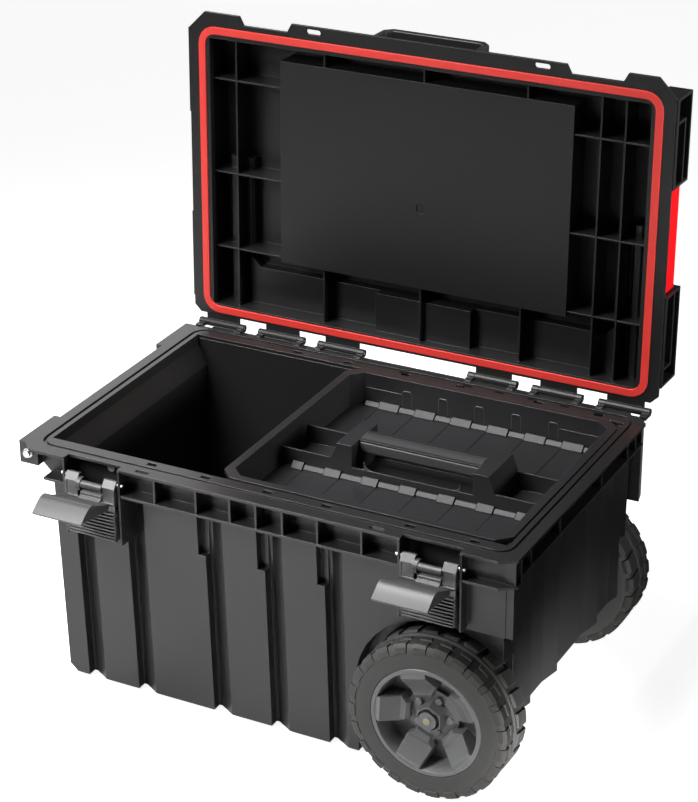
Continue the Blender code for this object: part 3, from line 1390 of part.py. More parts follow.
def build_axle():
    """A fixed steel axle with a push nut on each end."""
    shoulder = WHEEL_OUTER_Y - AXLE_SHOULDER
    tip = shoulder + AXLE_END_LENGTH
    profile = [
        (0.0, tip),
        (AXLE_END_RADIUS, tip),
        (AXLE_END_RADIUS, shoulder),
        (AXLE_RADIUS, shoulder),
        (AXLE_RADIUS, -shoulder),
        (AXLE_END_RADIUS, -shoulder),
        (AXLE_END_RADIUS, -tip),
        (0.0, -tip),
    ]
    axle = turned("axle", profile, (WHEEL_X, 0.0, AXLE_Z), PARTS, closed=False, steps=ROUND_STEPS)
    finish(axle, ZINC, 0.35, 1.0)
    for side, sign in (("front", -1), ("back", 1)):
        near, far = sorted((sign * (shoulder + RUNNING_GAP), sign * (tip - OVERLAP / 2)))
        bore = AXLE_END_RADIUS + RUNNING_GAP
        nut = ring(f"axle_nut_{side}", bore, AXLE_NUT_RADIUS, near, far, (WHEEL_X, 0.0, AXLE_Z), PARTS)
        finish(nut, ZINC, 0.3, 1.0)


def tyre_profile(sign):
    """Half section of the tyre, with chamfered shoulders and a raised middle ridge."""
    outer = WHEEL_OUTER_Y
    inner = WHEEL_INNER_Y
    middle = (outer + inner) / 2
    ridge = TREAD_RIDGE_WIDTH / 2
    tread = WHEEL_RADIUS - TREAD_RIDGE_HEIGHT
    bore = RIM_RING_RADIUS + RUNNING_GAP
    points = [
        (bore, outer),
        (WHEEL_RADIUS - TYRE_SHOULDER, outer),
        (tread, outer - TYRE_SHOULDER / 2),
        (tread, middle + 2 * ridge),
        (WHEEL_RADIUS, middle + ridge),
        (WHEEL_RADIUS, middle - ridge),
        (tread, middle - 2 * ridge),
        (tread, inner + TYRE_SHOULDER / 2),
        (WHEEL_RADIUS - TYRE_SHOULDER, inner),
        (bore, inner),
    ]
    return [(radius, sign * along) for radius, along in points]


def build_tyre(side, sign, place):
    """A rubber tyre with notches round both shoulders."""
    tyre = turned(f"tyre_{side}", tyre_profile(sign), (0.0, 0.0, 0.0), PARTS, place, steps=TYRE_STEPS)
    cuts = new_collection(f"tread_{side}", CUTTERS)
    middle = (WHEEL_OUTER_Y + WHEEL_INNER_Y) / 2
    length = TREAD_NOTCH_LENGTH
    for number in range(TREAD_BLOCKS):
        for row, edge in enumerate((WHEEL_OUTER_Y, WHEEL_INNER_Y)):
            angle = 2 * math.pi * (number + row / 2) / TREAD_BLOCKS
            inward = 1 if edge < middle else -1
            centre = edge + inward * (length / 2 - TREAD_NOTCH)
            shape = bmesh.new()
            size = Matrix.Diagonal((2 * TREAD_DEPTH, length, TREAD_NOTCH, 1.0))
            bmesh.ops.create_cube(shape, size=1.0, matrix=size)
            notch = mesh_piece(f"notch_{side}_{number}_{row}", shape, cuts)
            notch.rotation_euler = (0.0, -angle, 0.0)
            reach = WHEEL_RADIUS
            place.put(notch, (reach * math.cos(angle), sign * centre, reach * math.sin(angle)))
    combine(tyre, cuts, "DIFFERENCE")
    finish(tyre, TYRE_BLACK, 0.75)


def spoke_outline(angle):
    """A broad spoke in plan, wider at the rim and swept a little."""
    sweep = math.radians(SPOKE_SWEEP_DEG)
    inner = HUB_RADIUS - 3 * OVERLAP
    outer = RIM_RING_RADIUS - RIM_RING_THICKNESS / 2
    corners = (
        (inner, -SPOKE_ROOT_WIDTH / 2, 0.0),
        (outer, -SPOKE_WIDTH / 2, sweep),
        (outer, SPOKE_WIDTH / 2, sweep),
        (inner, SPOKE_ROOT_WIDTH / 2, 0.0),
    )
    points = []
    for reach, offset, turn in corners:
        facing = angle + turn
        across = reach * math.cos(facing) - offset * math.sin(facing)
        along = reach * math.sin(facing) + offset * math.cos(facing)
        points.append((across, along))
    return points


def build_hub(side, sign, place):
    """A moulded wheel with five spokes, round a bushing for the axle."""
    outer = WHEEL_OUTER_Y - RUNNING_GAP
    inner = WHEEL_INNER_Y + RUNNING_GAP
    face = outer - HUB_RECESS
    bore = RIM_RING_RADIUS - RIM_RING_THICKNESS
    near, far = sorted((sign * inner, sign * outer))
    centre = (0.0, 0.0, 0.0)
    name = f"wheel_hub_{side}"
    hub = ring(name, bore, RIM_RING_RADIUS, near, far, centre, PARTS, place, steps=TYRE_STEPS)
    adds = new_collection(f"hub_parts_{side}", CUTTERS)
    near, far = sorted((sign * (inner + HUB_RECESS), sign * face))
    cylinder(f"hub_disc_{side}", HUB_RADIUS, near, far, (0.0, 0.0), "Y", adds, place)
    spoke_face = face + SPOKE_RISE
    web_face = spoke_face - SPOKE_THICKNESS + OVERLAP
    near, far = sorted((sign * (web_face - WEB_THICKNESS), sign * web_face))
    cylinder(f"hub_web_{side}", bore + OVERLAP, near, far, (0.0, 0.0), "Y", adds, place, steps=TYRE_STEPS)
    for number in range(SPOKES):
        turn = math.radians(SPOKE_START_DEG) + 2 * math.pi * number / SPOKES
        near, far = sorted((sign * (spoke_face - SPOKE_THICKNESS), sign * spoke_face))
        outline = spoke_outline(turn)
        prism(f"spoke_{side}_{number}", [outline], near, far, "Y", adds, place)
        turn += math.pi / SPOKES
        centre = (LUG_CIRCLE * math.cos(turn), LUG_CIRCLE * math.sin(turn))
        near, far = sorted((sign * (face - OVERLAP), sign * (face + LUG_HEIGHT)))
        cylinder(f"lug_{side}_{number}", LUG_RADIUS, near, far, centre, "Y", adds, place, steps=PIN_STEPS)
    combine(hub, adds, "UNION")
    bores = new_collection(f"hub_bore_{side}", CUTTERS)
    near, far = sorted((sign * (inner - PASS), sign * (outer + PASS)))
    radius = BUSHING_RADIUS + RUNNING_GAP
    cylinder(f"hub_bore_{side}", radius, near, far, (0.0, 0.0), "Y", bores, place)
    combine(hub, bores, "DIFFERENCE")
    finish(hub, GREY, 0.5)
    near, far = sorted((sign * (inner + HUB_RECESS), sign * (face - RUNNING_GAP)))
    bore = AXLE_RADIUS + PIN_CLEARANCE
    name = f"axle_bushing_{side}"
    bushing = ring(name, bore, BUSHING_RADIUS, near, far, (0.0, 0.0, 0.0), PARTS, place)
    finish(bushing, CREAM, 0.5)


def build_wheels():
    for side, sign in (("front", -1), ("back", 1)):
        place = joint_place(f"wheel_axis_{side}", (WHEEL_X, 0.0, AXLE_Z))
        build_tyre(side, sign, place)
        build_hub(side, sign, place)


def build_latch_lever(side, place):
    """The latch's lever: two lugs on the pins and a ribbed plate below them."""
    width = LEVER_HALF_WIDTH
    front = -LEVER_FRONT
    back = LEVER_BACK
    top = LEVER_TOP
    low = LATCH_PIN_DROP - LEVER_PLATE_TOP_DROP - LEVER_PLATE_THICKNESS
    slope = LEVER_FRONT / 2
    outline = [
        (back, 0.0),
        (back, top - slope / 2),
        (0.0, top),
        (-slope, top - slope / 2),
        (front, -slope),
        (front, low),
        (0.0, low),
    ]
    bottom = LATCH_PIN_DROP - LEVER_BOTTOM_DROP
    plate_front = front + LEVER_RIB_HEIGHT
    start = (-width, plate_front, bottom)
    end = (width, plate_front + LEVER_PLATE_THICKNESS, low + LEVER_PLATE_THICKNESS)
    lever = box(f"latch_lever_{side}", start, end, PARTS, place)
    adds = new_collection(f"lever_parts_{side}", CUTTERS)
    for sign in (-1, 1):
        near, far = sorted((sign * width, sign * (width - LEVER_LUG_WIDTH)))
        prism(f"lever_lug_{side}_{sign}", [outline], near, far, "X", adds, place)
    half = LEVER_RIB_THICKNESS / 2
    first = bottom + half
    spacing = (low - first) / LEVER_RIB_COUNT
    for number in range(LEVER_RIB_COUNT):
        middle = first + spacing * number
        rib = (-width, front, middle - half)
        rib_end = (width, plate_front + OVERLAP, middle + half)
        box(f"lever_rib_{side}_{number}", rib, rib_end, adds, place)
    combine(lever, adds, "UNION")
    holes = new_collection(f"lever_holes_{side}", CUTTERS)
    reach = width + PASS
    radius = LATCH_PIN_RADIUS + PIN_CLEARANCE
    cylinder(f"lever_pin_hole_{side}", radius, -reach, reach, (0.0, 0.0), "X", holes, place, steps=PIN_STEPS)
    radius = HOOK_PIN_RADIUS + PIN_CLEARANCE
    centre = (-HOOK_AXIS_OUT, -HOOK_AXIS_DROP)
    cylinder(f"lever_hook_hole_{side}", radius, -reach, reach, centre, "X", holes, place, steps=PIN_STEPS)
    combine(lever, holes, "DIFFERENCE")
    finish(lever, GREY, 0.5)
    reach = width - LEVER_PIN_INSET
    name = f"latch_hook_pin_{side}"
    pin = cylinder(name, HOOK_PIN_RADIUS, -reach, reach, centre, "X", PARTS, place, steps=PIN_STEPS)
    finish(pin, ZINC, 0.3, 1.0)


def hook_flap_outline():
    """The flap in side view: it rises, bends over and dips at its tip."""
    start = HOOK_FLAP_START
    reach = HOOK_REACH
    skin = HOOK_THICKNESS
    crest = HOOK_CREST
    top = []
    for step in range(HOOK_STEPS + 1):
        share = step / HOOK_STEPS
        out = start + (reach - start) * share
        top.append((-out, crest - HOOK_TIP_DIP * share ** HOOK_CURL - (1 - share) ** 2 * HOOK_ROOT_DIP))
    under = [(out + HOOK_TIP_SLANT, height - skin) for out, height in reversed(top)]
    return top + under


def build_latch_hook(side, place):
    """The latch's hook: a barrel on its pin, an arm and a broad curved flap."""
    inner = LEVER_HALF_WIDTH - LEVER_LUG_WIDTH - RUNNING_GAP
    width = HOOK_HALF_WIDTH
    outline = hook_flap_outline()
    hook = prism(f"latch_hook_{side}", [outline], -width, width, "X", PARTS, place)
    adds = new_collection(f"hook_parts_{side}", CUTTERS)
    radius = HOOK_BARREL_RADIUS
    cylinder(f"hook_barrel_{side}", radius, -inner, inner, (0.0, 0.0), "X", adds, place)
    start = HOOK_FLAP_START
    arm = [
        (0.0, HOOK_ARM_HALF),
        (0.0, -HOOK_ARM_HALF),
        (-start - 2 * OVERLAP, -HOOK_WEDGE_DROP),
        (-start - 2 * OVERLAP, HOOK_CREST - HOOK_ROOT_DIP - OVERLAP),
    ]
    prism(f"hook_arm_{side}", [arm], -inner, inner, "X", adds, place)
    middle = (start + HOOK_REACH) / 2
    wedge = [
        (-start, HOOK_CREST - HOOK_ROOT_DIP - OVERLAP),
        (-start, -HOOK_WEDGE_DROP),
        (-middle - HOOK_WEDGE_FORWARD, HOOK_CREST - HOOK_THICKNESS - HOOK_WEDGE_TUCK),
        (-middle, HOOK_CREST - OVERLAP),
    ]
    near = width - HOOK_WEDGE_INSET
    prism(f"hook_wedge_{side}", [wedge], -near, near, "X", adds, place)
    combine(hook, adds, "UNION")
    holes = new_collection(f"hook_hole_{side}", CUTTERS)
    radius = HOOK_PIN_RADIUS + PIN_CLEARANCE
    reach = inner + PASS
    cylinder(f"hook_pin_hole_{side}", radius, -reach, reach, (0.0, 0.0), "X", holes, place, steps=PIN_STEPS)
    combine(hook, holes, "DIFFERENCE")
    finish(hook, GREY, 0.45)


def build_latches():
    """Both latches, with the pins that the tub's cheeks hold."""
    for side, middle in zip(LATCH_SIDES, LATCHES_X):
        lever_place = joint_place(f"lever_axis_{side}", (middle, LATCH_PIN_Y, LATCH_PIN_Z))
        build_latch_lever(side, lever_place)
        hook_place = joint_place(
            f"hook_axis_{side}", (0.0, -HOOK_AXIS_OUT, -HOOK_AXIS_DROP), lever_place.parent
        )
        build_latch_hook(side, hook_place)
        for end, sign in (("a", -1), ("b", 1)):
            near, far = sorted((middle + sign * LATCH_PIN_START, middle + sign * LATCH_PIN_END))
            name = f"latch_pin_{side}_{end}"
            centre = (LATCH_PIN_Y, LATCH_PIN_Z)
            pin = cylinder(name, LATCH_PIN_RADIUS, near, far, centre, "X", PARTS, steps=PIN_STEPS)
            finish(pin, ZINC, 0.3, 1.0)
    far = RECESS_BACK_Y - RUNNING_GAP
    centre = (LATCHES_X[0] + PLUG_X_OFFSET, RIM_TOP - PLUG_DROP)
    plug = cylinder("latch_recess_plug", PLUG_RADIUS, far - PLUG_THICKNESS, far, centre, "Y", PARTS)
    finish(plug, GREY, 0.5)


def rounded_path(corners, radius, steps=TOW_BEND_STEPS):
    """Points along straight runs, with an arc at every inner corner."""
    points = [Vector(corners[0])]
    for before, corner, after in zip(corners, corners[1:], corners[2:]):
        corner = Vector(corner)
        back = (Vector(before) - corner).normalized()
        ahead = (Vector(after) - corner).normalized()
        angle = back.angle(ahead)
        reach = radius / math.tan(angle / 2)
        middle = corner + (back + ahead).normalized() * radius / math.sin(angle / 2)
        first = corner + back * reach - middle
        last = corner + ahead * reach - middle
        for step in range(steps + 1):
            points.append(middle + first.slerp(last, step / steps).normalized() * radius)
    points.append(Vector(corners[-1]))
    return points


def build_tow_handle():
    """A U-shaped bail that hangs from the ears, with a round grip on its crossbar."""
    place = joint_place("tow_axis", (TOW_PIVOT_X, 0.0, RIM_TOP - TOW_PIVOT_DROP))
    corners = (
        (0.0, -TOW_ARM_Y, 0.0),
        (TOW_LEAN, -TOW_ARM_Y, -TOW_REACH),
        (TOW_LEAN, TOW_ARM_Y, -TOW_REACH),
        (0.0, TOW_ARM_Y, 0.0),
    )
    curve = bpy.data.curves.new("tow_handle", "CURVE")
    curve.dimensions = "3D"
    curve.bevel_depth = TOW_TUBE_RADIUS
    curve.bevel_resolution = 3
    curve.use_fill_caps = True
    points = rounded_path(corners, TOW_BEND)
    spline = curve.splines.new("POLY")
    spline.points.add(len(points) - 1)
    for point, corner in zip(spline.points, points):
        point.co = (*corner, 1.0)
    handle = add_object("tow_handle", curve, PARTS)
    place.put(handle, (0.0, 0.0, 0.0))
    handle = curve_to_mesh(handle, PARTS)
    eyes = new_collection("tow_eyes", CUTTERS)
    holes = new_collection("tow_eye_holes", CUTTERS)
    half = TOW_EYE_WIDTH / 2
    radius = TOW_BOLT_RADIUS + PIN_CLEARANCE
    for sign in (-1, 1):
        middle = sign * TOW_ARM_Y
        near = middle - half
        far = middle + half
        cylinder(f"tow_eye_{sign}", TOW_EYE_RADIUS, near, far, (0.0, 0.0), "Y", eyes, place)
        near -= PASS
        far += PASS
        cylinder(f"tow_eye_hole_{sign}", radius, near, far, (0.0, 0.0), "Y", holes, place, steps=BOLT_STEPS)
    combine(handle, eyes, "UNION")
    combine(handle, holes, "DIFFERENCE")
    finish(handle, TUBE_BLACK, 0.4)
    half = TOW_GRIP_LENGTH / 2
    bore = TOW_TUBE_RADIUS + RUNNING_GAP
    centre = (TOW_LEAN, 0.0, -TOW_REACH)
    grip = ring("tow_handle_grip", bore, TOW_GRIP_RADIUS, -half, half, centre, PARTS, place)
    finish(grip, BLACK, 0.7)
    for side, sign in (("front", -1), ("back", 1)):
        build_tow_bolt(side, sign)


def build_tow_bolt(side, sign):
    """A bolt through an ear into the handle's eye, and the washer under its head."""
    centre = (TOW_PIVOT_X, 0.0, RIM_TOP - TOW_PIVOT_DROP)
    seat = EAR_OUTER_Y + RUNNING_GAP
    washer_top = seat + TOW_WASHER_THICKNESS
    near, far = sorted((sign * seat, sign * washer_top))
    bore = TOW_BOLT_RADIUS + RUNNING_GAP
    name = f"tow_washer_{side}"
    washer = ring(name, bore, TOW_WASHER_RADIUS, near, far, centre, PARTS, steps=BOLT_STEPS)
    finish(washer, ZINC, 0.3, 1.0)
    head = washer_top + RUNNING_GAP
    tip = TOW_ARM_Y - TOW_EYE_WIDTH / 2
    profile = [
        (0.0, head + TOW_BOLT_HEAD),
        (TOW_BOLT_HEAD_RADIUS, head + TOW_BOLT_HEAD),
        (TOW_BOLT_HEAD_RADIUS, head),
        (TOW_BOLT_RADIUS, head),
        (TOW_BOLT_RADIUS, tip),
        (0.0, tip),
    ]
    profile = [(radius, sign * along) for radius, along in profile]
    bolt = turned(f"tow_bolt_{side}", profile, centre, PARTS, closed=False, steps=BOLT_STEPS)
    finish(bolt, ZINC, 0.3, 1.0)


def build_lid_assembly():
    """The lid and what is fixed to it, on an empty that stands it open."""
    axis = joint_place("lid_axis", (0.0, HINGE_Y, RIM_TOP + HINGE_RISE))
    axis.parent.rotation_euler = (-math.radians(LID_OPEN_DEG), 0.0, 0.0)
    place = Place(axis.parent, (0.0, -HINGE_Y, -HINGE_RISE))
    build_lid(place)
    build_seal(place)
    build_carry_handle(place)
    build_side_bands(place)


build_tub()
build_lid_assembly()
build_hinge_pins()
build_tray(joint_place("tray_base", (0.0, 0.0, RIM_TOP)))
build_axle()
build_wheels()
build_latches()
build_tow_handle()
switch_on_booleans()
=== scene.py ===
"""Looks of the rolling toolbox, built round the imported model.

Every length is in metres. X runs towards the wheels, Y towards the hinges and Z
up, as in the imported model, and the latches' side views give heights over the rim.
"""

from __future__ import annotations

import json
import logging
import math
from dataclasses import dataclass, field
from enum import Enum
from typing import Sequence

import bmesh
import bpy
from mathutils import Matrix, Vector

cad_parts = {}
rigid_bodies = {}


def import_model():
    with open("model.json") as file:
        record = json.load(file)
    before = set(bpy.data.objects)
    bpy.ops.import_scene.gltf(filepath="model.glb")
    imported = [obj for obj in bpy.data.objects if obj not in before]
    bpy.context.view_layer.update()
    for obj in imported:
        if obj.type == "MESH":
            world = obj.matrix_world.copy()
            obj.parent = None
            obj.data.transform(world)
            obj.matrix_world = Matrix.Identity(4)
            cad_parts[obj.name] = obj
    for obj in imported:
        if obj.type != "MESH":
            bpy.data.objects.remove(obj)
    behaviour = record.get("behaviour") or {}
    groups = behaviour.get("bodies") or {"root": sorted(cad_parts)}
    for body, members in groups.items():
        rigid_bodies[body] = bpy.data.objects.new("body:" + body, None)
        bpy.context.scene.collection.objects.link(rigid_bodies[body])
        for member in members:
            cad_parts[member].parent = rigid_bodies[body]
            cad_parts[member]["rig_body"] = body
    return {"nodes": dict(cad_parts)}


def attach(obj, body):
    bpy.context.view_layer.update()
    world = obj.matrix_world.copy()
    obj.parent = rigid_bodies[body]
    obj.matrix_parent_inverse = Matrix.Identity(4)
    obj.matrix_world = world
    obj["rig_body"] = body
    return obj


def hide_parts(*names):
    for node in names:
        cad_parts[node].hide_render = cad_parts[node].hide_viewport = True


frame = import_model()

Point = tuple[float, float]
Triple = tuple[float, float, float]
Outline = Sequence[Point]
Colour = tuple[float, float, float, float]
Piece = bpy.types.Object
Socket = bpy.types.NodeSocket
Value = float | Colour | Socket
Shape = bmesh.types.BMesh

LOG = logging.getLogger("rolling_toolbox")

# The tub's rim over the floor.
RIM = 0.316
# How deep a laid-on piece reaches into what carries it, and how far a thin dark plate stands out,
# which paints the shade in a slot or groove.
SUNK = 0.0004
PROUD = 0.0002
# A copied node's points closer than this are joined, and its flatter edges are taken out.
WELD = 0.00002
FLAT_DEG = 0.4
# Edges sharper than these stay sharp, in copies and in new solids.
COPY_SHARP_DEG = 25.0
SOLID_SHARP_DEG = 28.0
BEVEL_STEPS = 2

# What all finishes share: the noise of the patches and of the grain, and the painted highlight on
# the edges, which starts and is full where the rounded normal's product with the flat one is this.
PATCH_DETAIL = 6.0
PATCH_ROUGHNESS = 0.65
GRAIN_DETAIL = 2.0
GRAIN_STRENGTH = 0.6
ROUNDING_SAMPLES = 4
EDGE_HIGHLIGHT_STARTS = 0.995
EDGE_HIGHLIGHT_FULL = 0.86
BRIGHTEST = 0.9
WHITE = (1.0, 1.0, 1.0, 1.0)


class Slot(Enum):
    """The names of the record's material slots."""

    TUB = "tub_plastic"
    PLUG = "plug_plastic"
    LID = "lid_plastic"
    HANDLE = "handle_plastic"
    BAND = "band_plastic"
    SEAL = "seal_rubber"
    TRAY = "tray_plastic"
    TYRE = "tyre_rubber"
    HUB = "hub_plastic"
    ZINC = "zinc_steel"
    LATCH = "latch_plastic"


class Side(Enum):
    """A side of the toolbox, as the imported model's names say it."""

    FRONT = "front"
    BACK = "back"
    LEFT = "left"
    RIGHT = "right"

    @property
    def sign(self) -> int:
        """Whether the side lies at the low or the high end of its axis."""
        return -1 if self in (Side.FRONT, Side.LEFT) else 1


@dataclass(frozen=True)
class Nodes:
    """The nodes of a material or of the world."""

    tree: bpy.types.NodeTree

    def fill(self, node: bpy.types.Node, **inputs: Value) -> None:
        """Link or set a node's inputs.

        Args:
            node: The node.
            inputs: What each input gets, with an underscore for each space in its name. A
                socket is linked to it, and anything else is written into it.
        """
        for name, value in inputs.items():
            goal = node.inputs[name.replace("_", " ")]
            if isinstance(value, Socket):
                self.tree.links.new(value, goal)
            else:
                goal.default_value = value

    def add(self, kind: str, **inputs: Value) -> Socket:
        """Add a node.

        Args:
            kind: Its kind.
            inputs: What each input gets.

        Returns:
            Its first output.
        """
        node = self.tree.nodes.new(kind)
        self.fill(node, **inputs)
        return node.outputs[0]

    def read(self, kind: str, output: str) -> Socket:
        """One output of a new node that has nothing to set."""
        return self.tree.nodes.new(kind).outputs[output]

    def mix(self, factor: Socket, start: Value, end: Value) -> Socket:
        """Add a mix of two colours.

        Args:
            factor: How much of the second colour it has.
            start: The first colour.
            end: The second colour.

        Returns:
            The mixed colour.
        """
        node = self.tree.nodes.new("ShaderNodeMix")
        node.data_type = "RGBA"
        self.fill(node, Factor=factor, A=start, B=end)
        return node.outputs["Result"]

    def by_ray(self, unseen: float, seen: float) -> Socket:
        """A value that the camera's own rays get, and another one for all other rays.

        Args:
            unseen: The value for other rays.
            seen: The value for the camera's rays.

        Returns:
            The value.
        """
        ray = self.read("ShaderNodeLightPath", "Is Camera Ray")
        return self.add("ShaderNodeMapRange", Value=ray, To_Min=unseen, To_Max=seen)


@dataclass(frozen=True)
class Finish:
    """A moulded, rubber or plated surface, made once as a node material.

    Its colour and roughness vary in soft patches, it has a fine grain, and its edges
    are rounded in the shading and lighter in the colour, a painted highlight on every edge.
    """

    name: str
    colour: Triple
    roughness: float
    metallic: float = 0.0
    grain: float = 900.0
    grain_depth: float = 0.00008
    mottle: float = 0.18
    patch: float = 14.0
    specular: float = 0.5
    edge: float = 0.0009
    # How much lighter the painted highlight along the edges makes the colour.
    edge_highlight_gain: float = 4.0

    def material(self) -> bpy.types.Material:
        """Build the material, or give the one that is already there.

        Returns:
            The node material of this finish.
        """
        found = bpy.data.materials.get(self.name)
        if found:
            return found
        made = bpy.data.materials.new(self.name)
        made.use_nodes = True
        nodes = Nodes(made.node_tree)
        place = nodes.read("ShaderNodeTexCoord", "Object")
        noise = "ShaderNodeTexNoise"
        cloud = nodes.add(
            noise, Vector=place, Scale=self.patch, Detail=PATCH_DETAIL, Roughness=PATCH_ROUGHNESS
        )
        grain = nodes.add(noise, Vector=place, Scale=self.grain, Detail=GRAIN_DETAIL)
        least = self.roughness * (1 - self.mottle / 2)
        most = min(1.0, self.roughness * (1 + self.mottle / 2))
        rounding = nodes.tree.nodes.new("ShaderNodeBevel")
        rounding.samples = ROUNDING_SAMPLES
        nodes.fill(rounding, Radius=self.edge)
        rounded = rounding.outputs["Normal"]
        nodes.fill(
            nodes.tree.nodes["Principled BSDF"],
            Base_Color=self.add_colour(nodes, cloud, rounded),
            Metallic=self.metallic,
            Specular_IOR_Level=self.specular,
            Roughness=nodes.add("ShaderNodeMapRange", Value=cloud, To_Min=least, To_Max=most),
            Normal=nodes.add(
                "ShaderNodeBump",
                Normal=rounded,
                Height=grain,
                Distance=self.grain_depth,
                Strength=GRAIN_STRENGTH,
            ),
        )
        return made

    def shade(self, gain: float) -> Colour:
        """The colour made lighter or darker.

        Args:
            gain: What each channel is multiplied by.

        Returns:
            The colour, with its alpha.
        """
        red, green, blue = (min(BRIGHTEST, channel * gain) for channel in self.colour)
        return (red, green, blue, 1.0)

    def add_colour(self, nodes: Nodes, cloud: Socket, rounded: Socket) -> Socket:
        """Let the colour vary in patches, and lighten it along the edges as a painted highlight.

        Args:
            nodes: The material's nodes.
            cloud: The patches.
            rounded: The rounded normal.

        Returns:
            The colour.
        """
        tint = nodes.mix(cloud, self.shade(1 - self.mottle), self.shade(1 + self.mottle))
        turn = nodes.tree.nodes.new("ShaderNodeVectorMath")
        turn.operation = "DOT_PRODUCT"
        nodes.tree.links.new(rounded, turn.inputs[0])
        nodes.tree.links.new(nodes.read("ShaderNodeNewGeometry", "True Normal"), turn.inputs[1])
        product = turn.outputs["Value"]
        # Painted highlight: the colour is lighter where the rounded normal turns from the flat
        # one.
        painted_edge_highlight = nodes.add(
            "ShaderNodeMapRange", Value=product, From_Min=EDGE_HIGHLIGHT_STARTS, From_Max=EDGE_HIGHLIGHT_FULL
        )
        return nodes.mix(painted_edge_highlight, tint, self.shade(self.edge_highlight_gain))


class Finishes:
    """Every finish on the toolbox."""

    SHELL = Finish("moulded_shell_black", (0.015, 0.0146, 0.0148), 0.33)
    # Near-black and dull: painted shade, laid as thin plates over the rim's slots.
    HOLE_SHADE = Finish(
        "painted_hole_shade", (0.004, 0.004, 0.004), 0.60, specular=0.1, edge_highlight_gain=1.0
    )
    # A little darker than the shell's black: painted shade on the lid.
    LID = Finish("moulded_lid_black", (0.013, 0.0128, 0.0130), 0.36, specular=0.38)
    TRAY = Finish("moulded_tray_black", (0.015, 0.015, 0.0165), 0.38)
    TRAY_TAB = Finish(
        "moulded_tray_worn", (0.015, 0.015, 0.017), 0.42, specular=0.40, edge_highlight_gain=1.5
    )
    # Lighter copy of the tray's plastic: painted highlight on the grip and the wall's slots and
    # steps.
    TRAY_HIGHLIGHT = Finish("tray_painted_highlight", (0.044, 0.044, 0.046), 0.33)
    # Near-black and dull: painted shade, laid as thin strips in the tray floor's grooves.
    GROOVE_SHADE = Finish(
        "painted_tray_groove_shade", (0.008, 0.008, 0.009), 0.55, specular=0.2, edge_highlight_gain=1.0
    )
    HANDLE = Finish("moulded_handle_black", (0.018, 0.018, 0.019), 0.36)
    LATCH = Finish("latch_plastic_black", (0.058, 0.0575, 0.0575), 0.36)
    LATCH_SKIN = Finish("latch_skin_black", (0.060, 0.059, 0.059), 0.36, grain_depth=0.00004)
    HUB = Finish("wheel_plastic_grey", (0.095, 0.096, 0.098), 0.36, edge_highlight_gain=2.2)
    TYRE = Finish(
        "tyre_rubber_black", (0.030, 0.029, 0.028), 0.60, grain=700.0, grain_depth=0.00012
    )
    SEAL = Finish(
        "seal_rubber_red", (0.78, 0.045, 0.035), 0.45,
        grain_depth=0.00004, mottle=0.08, edge_highlight_gain=1.0,
    )
    BAND = Finish(
        "band_plastic_red", (0.60, 0.005, 0.008), 0.42,
        grain_depth=0.00003, mottle=0.06, specular=0.08, edge_highlight_gain=1.0,
    )
    ZINC = Finish(
        "plated_zinc", (0.62, 0.63, 0.64), 0.30,
        metallic=1.0, grain_depth=0.00003, mottle=0.10, edge_highlight_gain=1.2,
    )
    # A darker copy of the zinc: painted shade on the axle's nut.
    NUT = Finish(
        "nut_zinc_painted_shade", (0.14, 0.145, 0.15), 0.50,
        metallic=1.0, grain_depth=0.00003, mottle=0.10, edge_highlight_gain=1.2,
    )
    AXLE_TIP = Finish(
        "axle_end_cream", (0.22, 0.195, 0.12), 0.50,
        grain_depth=0.00003, mottle=0.10, edge_highlight_gain=1.0,
    )
    BUSHING = Finish("bushing_cream", (0.72, 0.70, 0.60), 0.45, mottle=0.08, edge_highlight_gain=1.0)
    PLUG = Finish("plug_plastic_grey", (0.32, 0.33, 0.34), 0.45, edge_highlight_gain=1.4)
    TUBE = Finish("tow_tube_black", (0.022, 0.022, 0.023), 0.30, grain=1400.0)
    GRIP = Finish("tow_grip_rubber", (0.018, 0.018, 0.019), 0.70, grain=600.0, grain_depth=0.0002)


def dress(piece: Piece, finish: Finish) -> None:
    """Give a piece one finish.

    Args:
        piece: The object to paint.
        finish: Its finish.
    """
    piece.data.materials.clear()
    piece.data.materials.append(finish.material())
    LOG.info("%s is finished in %s", piece.name, finish.name)


def body_of(node: str) -> str:
    """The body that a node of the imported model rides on."""
    return frame["nodes"][node]["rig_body"]


def settle(piece: Piece, body: str, finish: Finish) -> None:
    """Put a piece on its body, with its finish.

    Args:
        piece: The object.
        body: The body that it rides on.
        finish: Its finish.
    """
    dress(piece, finish)
    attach(piece, body)


def from_shape(name: str, shape: Shape) -> Piece:
    """Make an object of a finished shape.

    Args:
        name: The object's name.
        shape: The shape, which is freed.

    Returns:
        The new object.
    """
    mesh = bpy.data.meshes.new(name)
    shape.to_mesh(mesh)
    shape.free()
    piece = bpy.data.objects.new(name, mesh)
    bpy.context.scene.collection.objects.link(piece)
    return piece


def from_solids(name: str, shape: Shape) -> Piece:
    """Make an object of closed solids, smooth between its sharper edges.

    Args:
        name: The object's name.
        shape: The solids, which are freed.

    Returns:
        The new object.
    """
    bmesh.ops.recalc_face_normals(shape, faces=shape.faces)
    piece = from_shape(name, shape)
    piece.data.shade_smooth()
    piece.data.set_sharp_from_angle(angle=math.radians(SOLID_SHARP_DEG))
    return piece


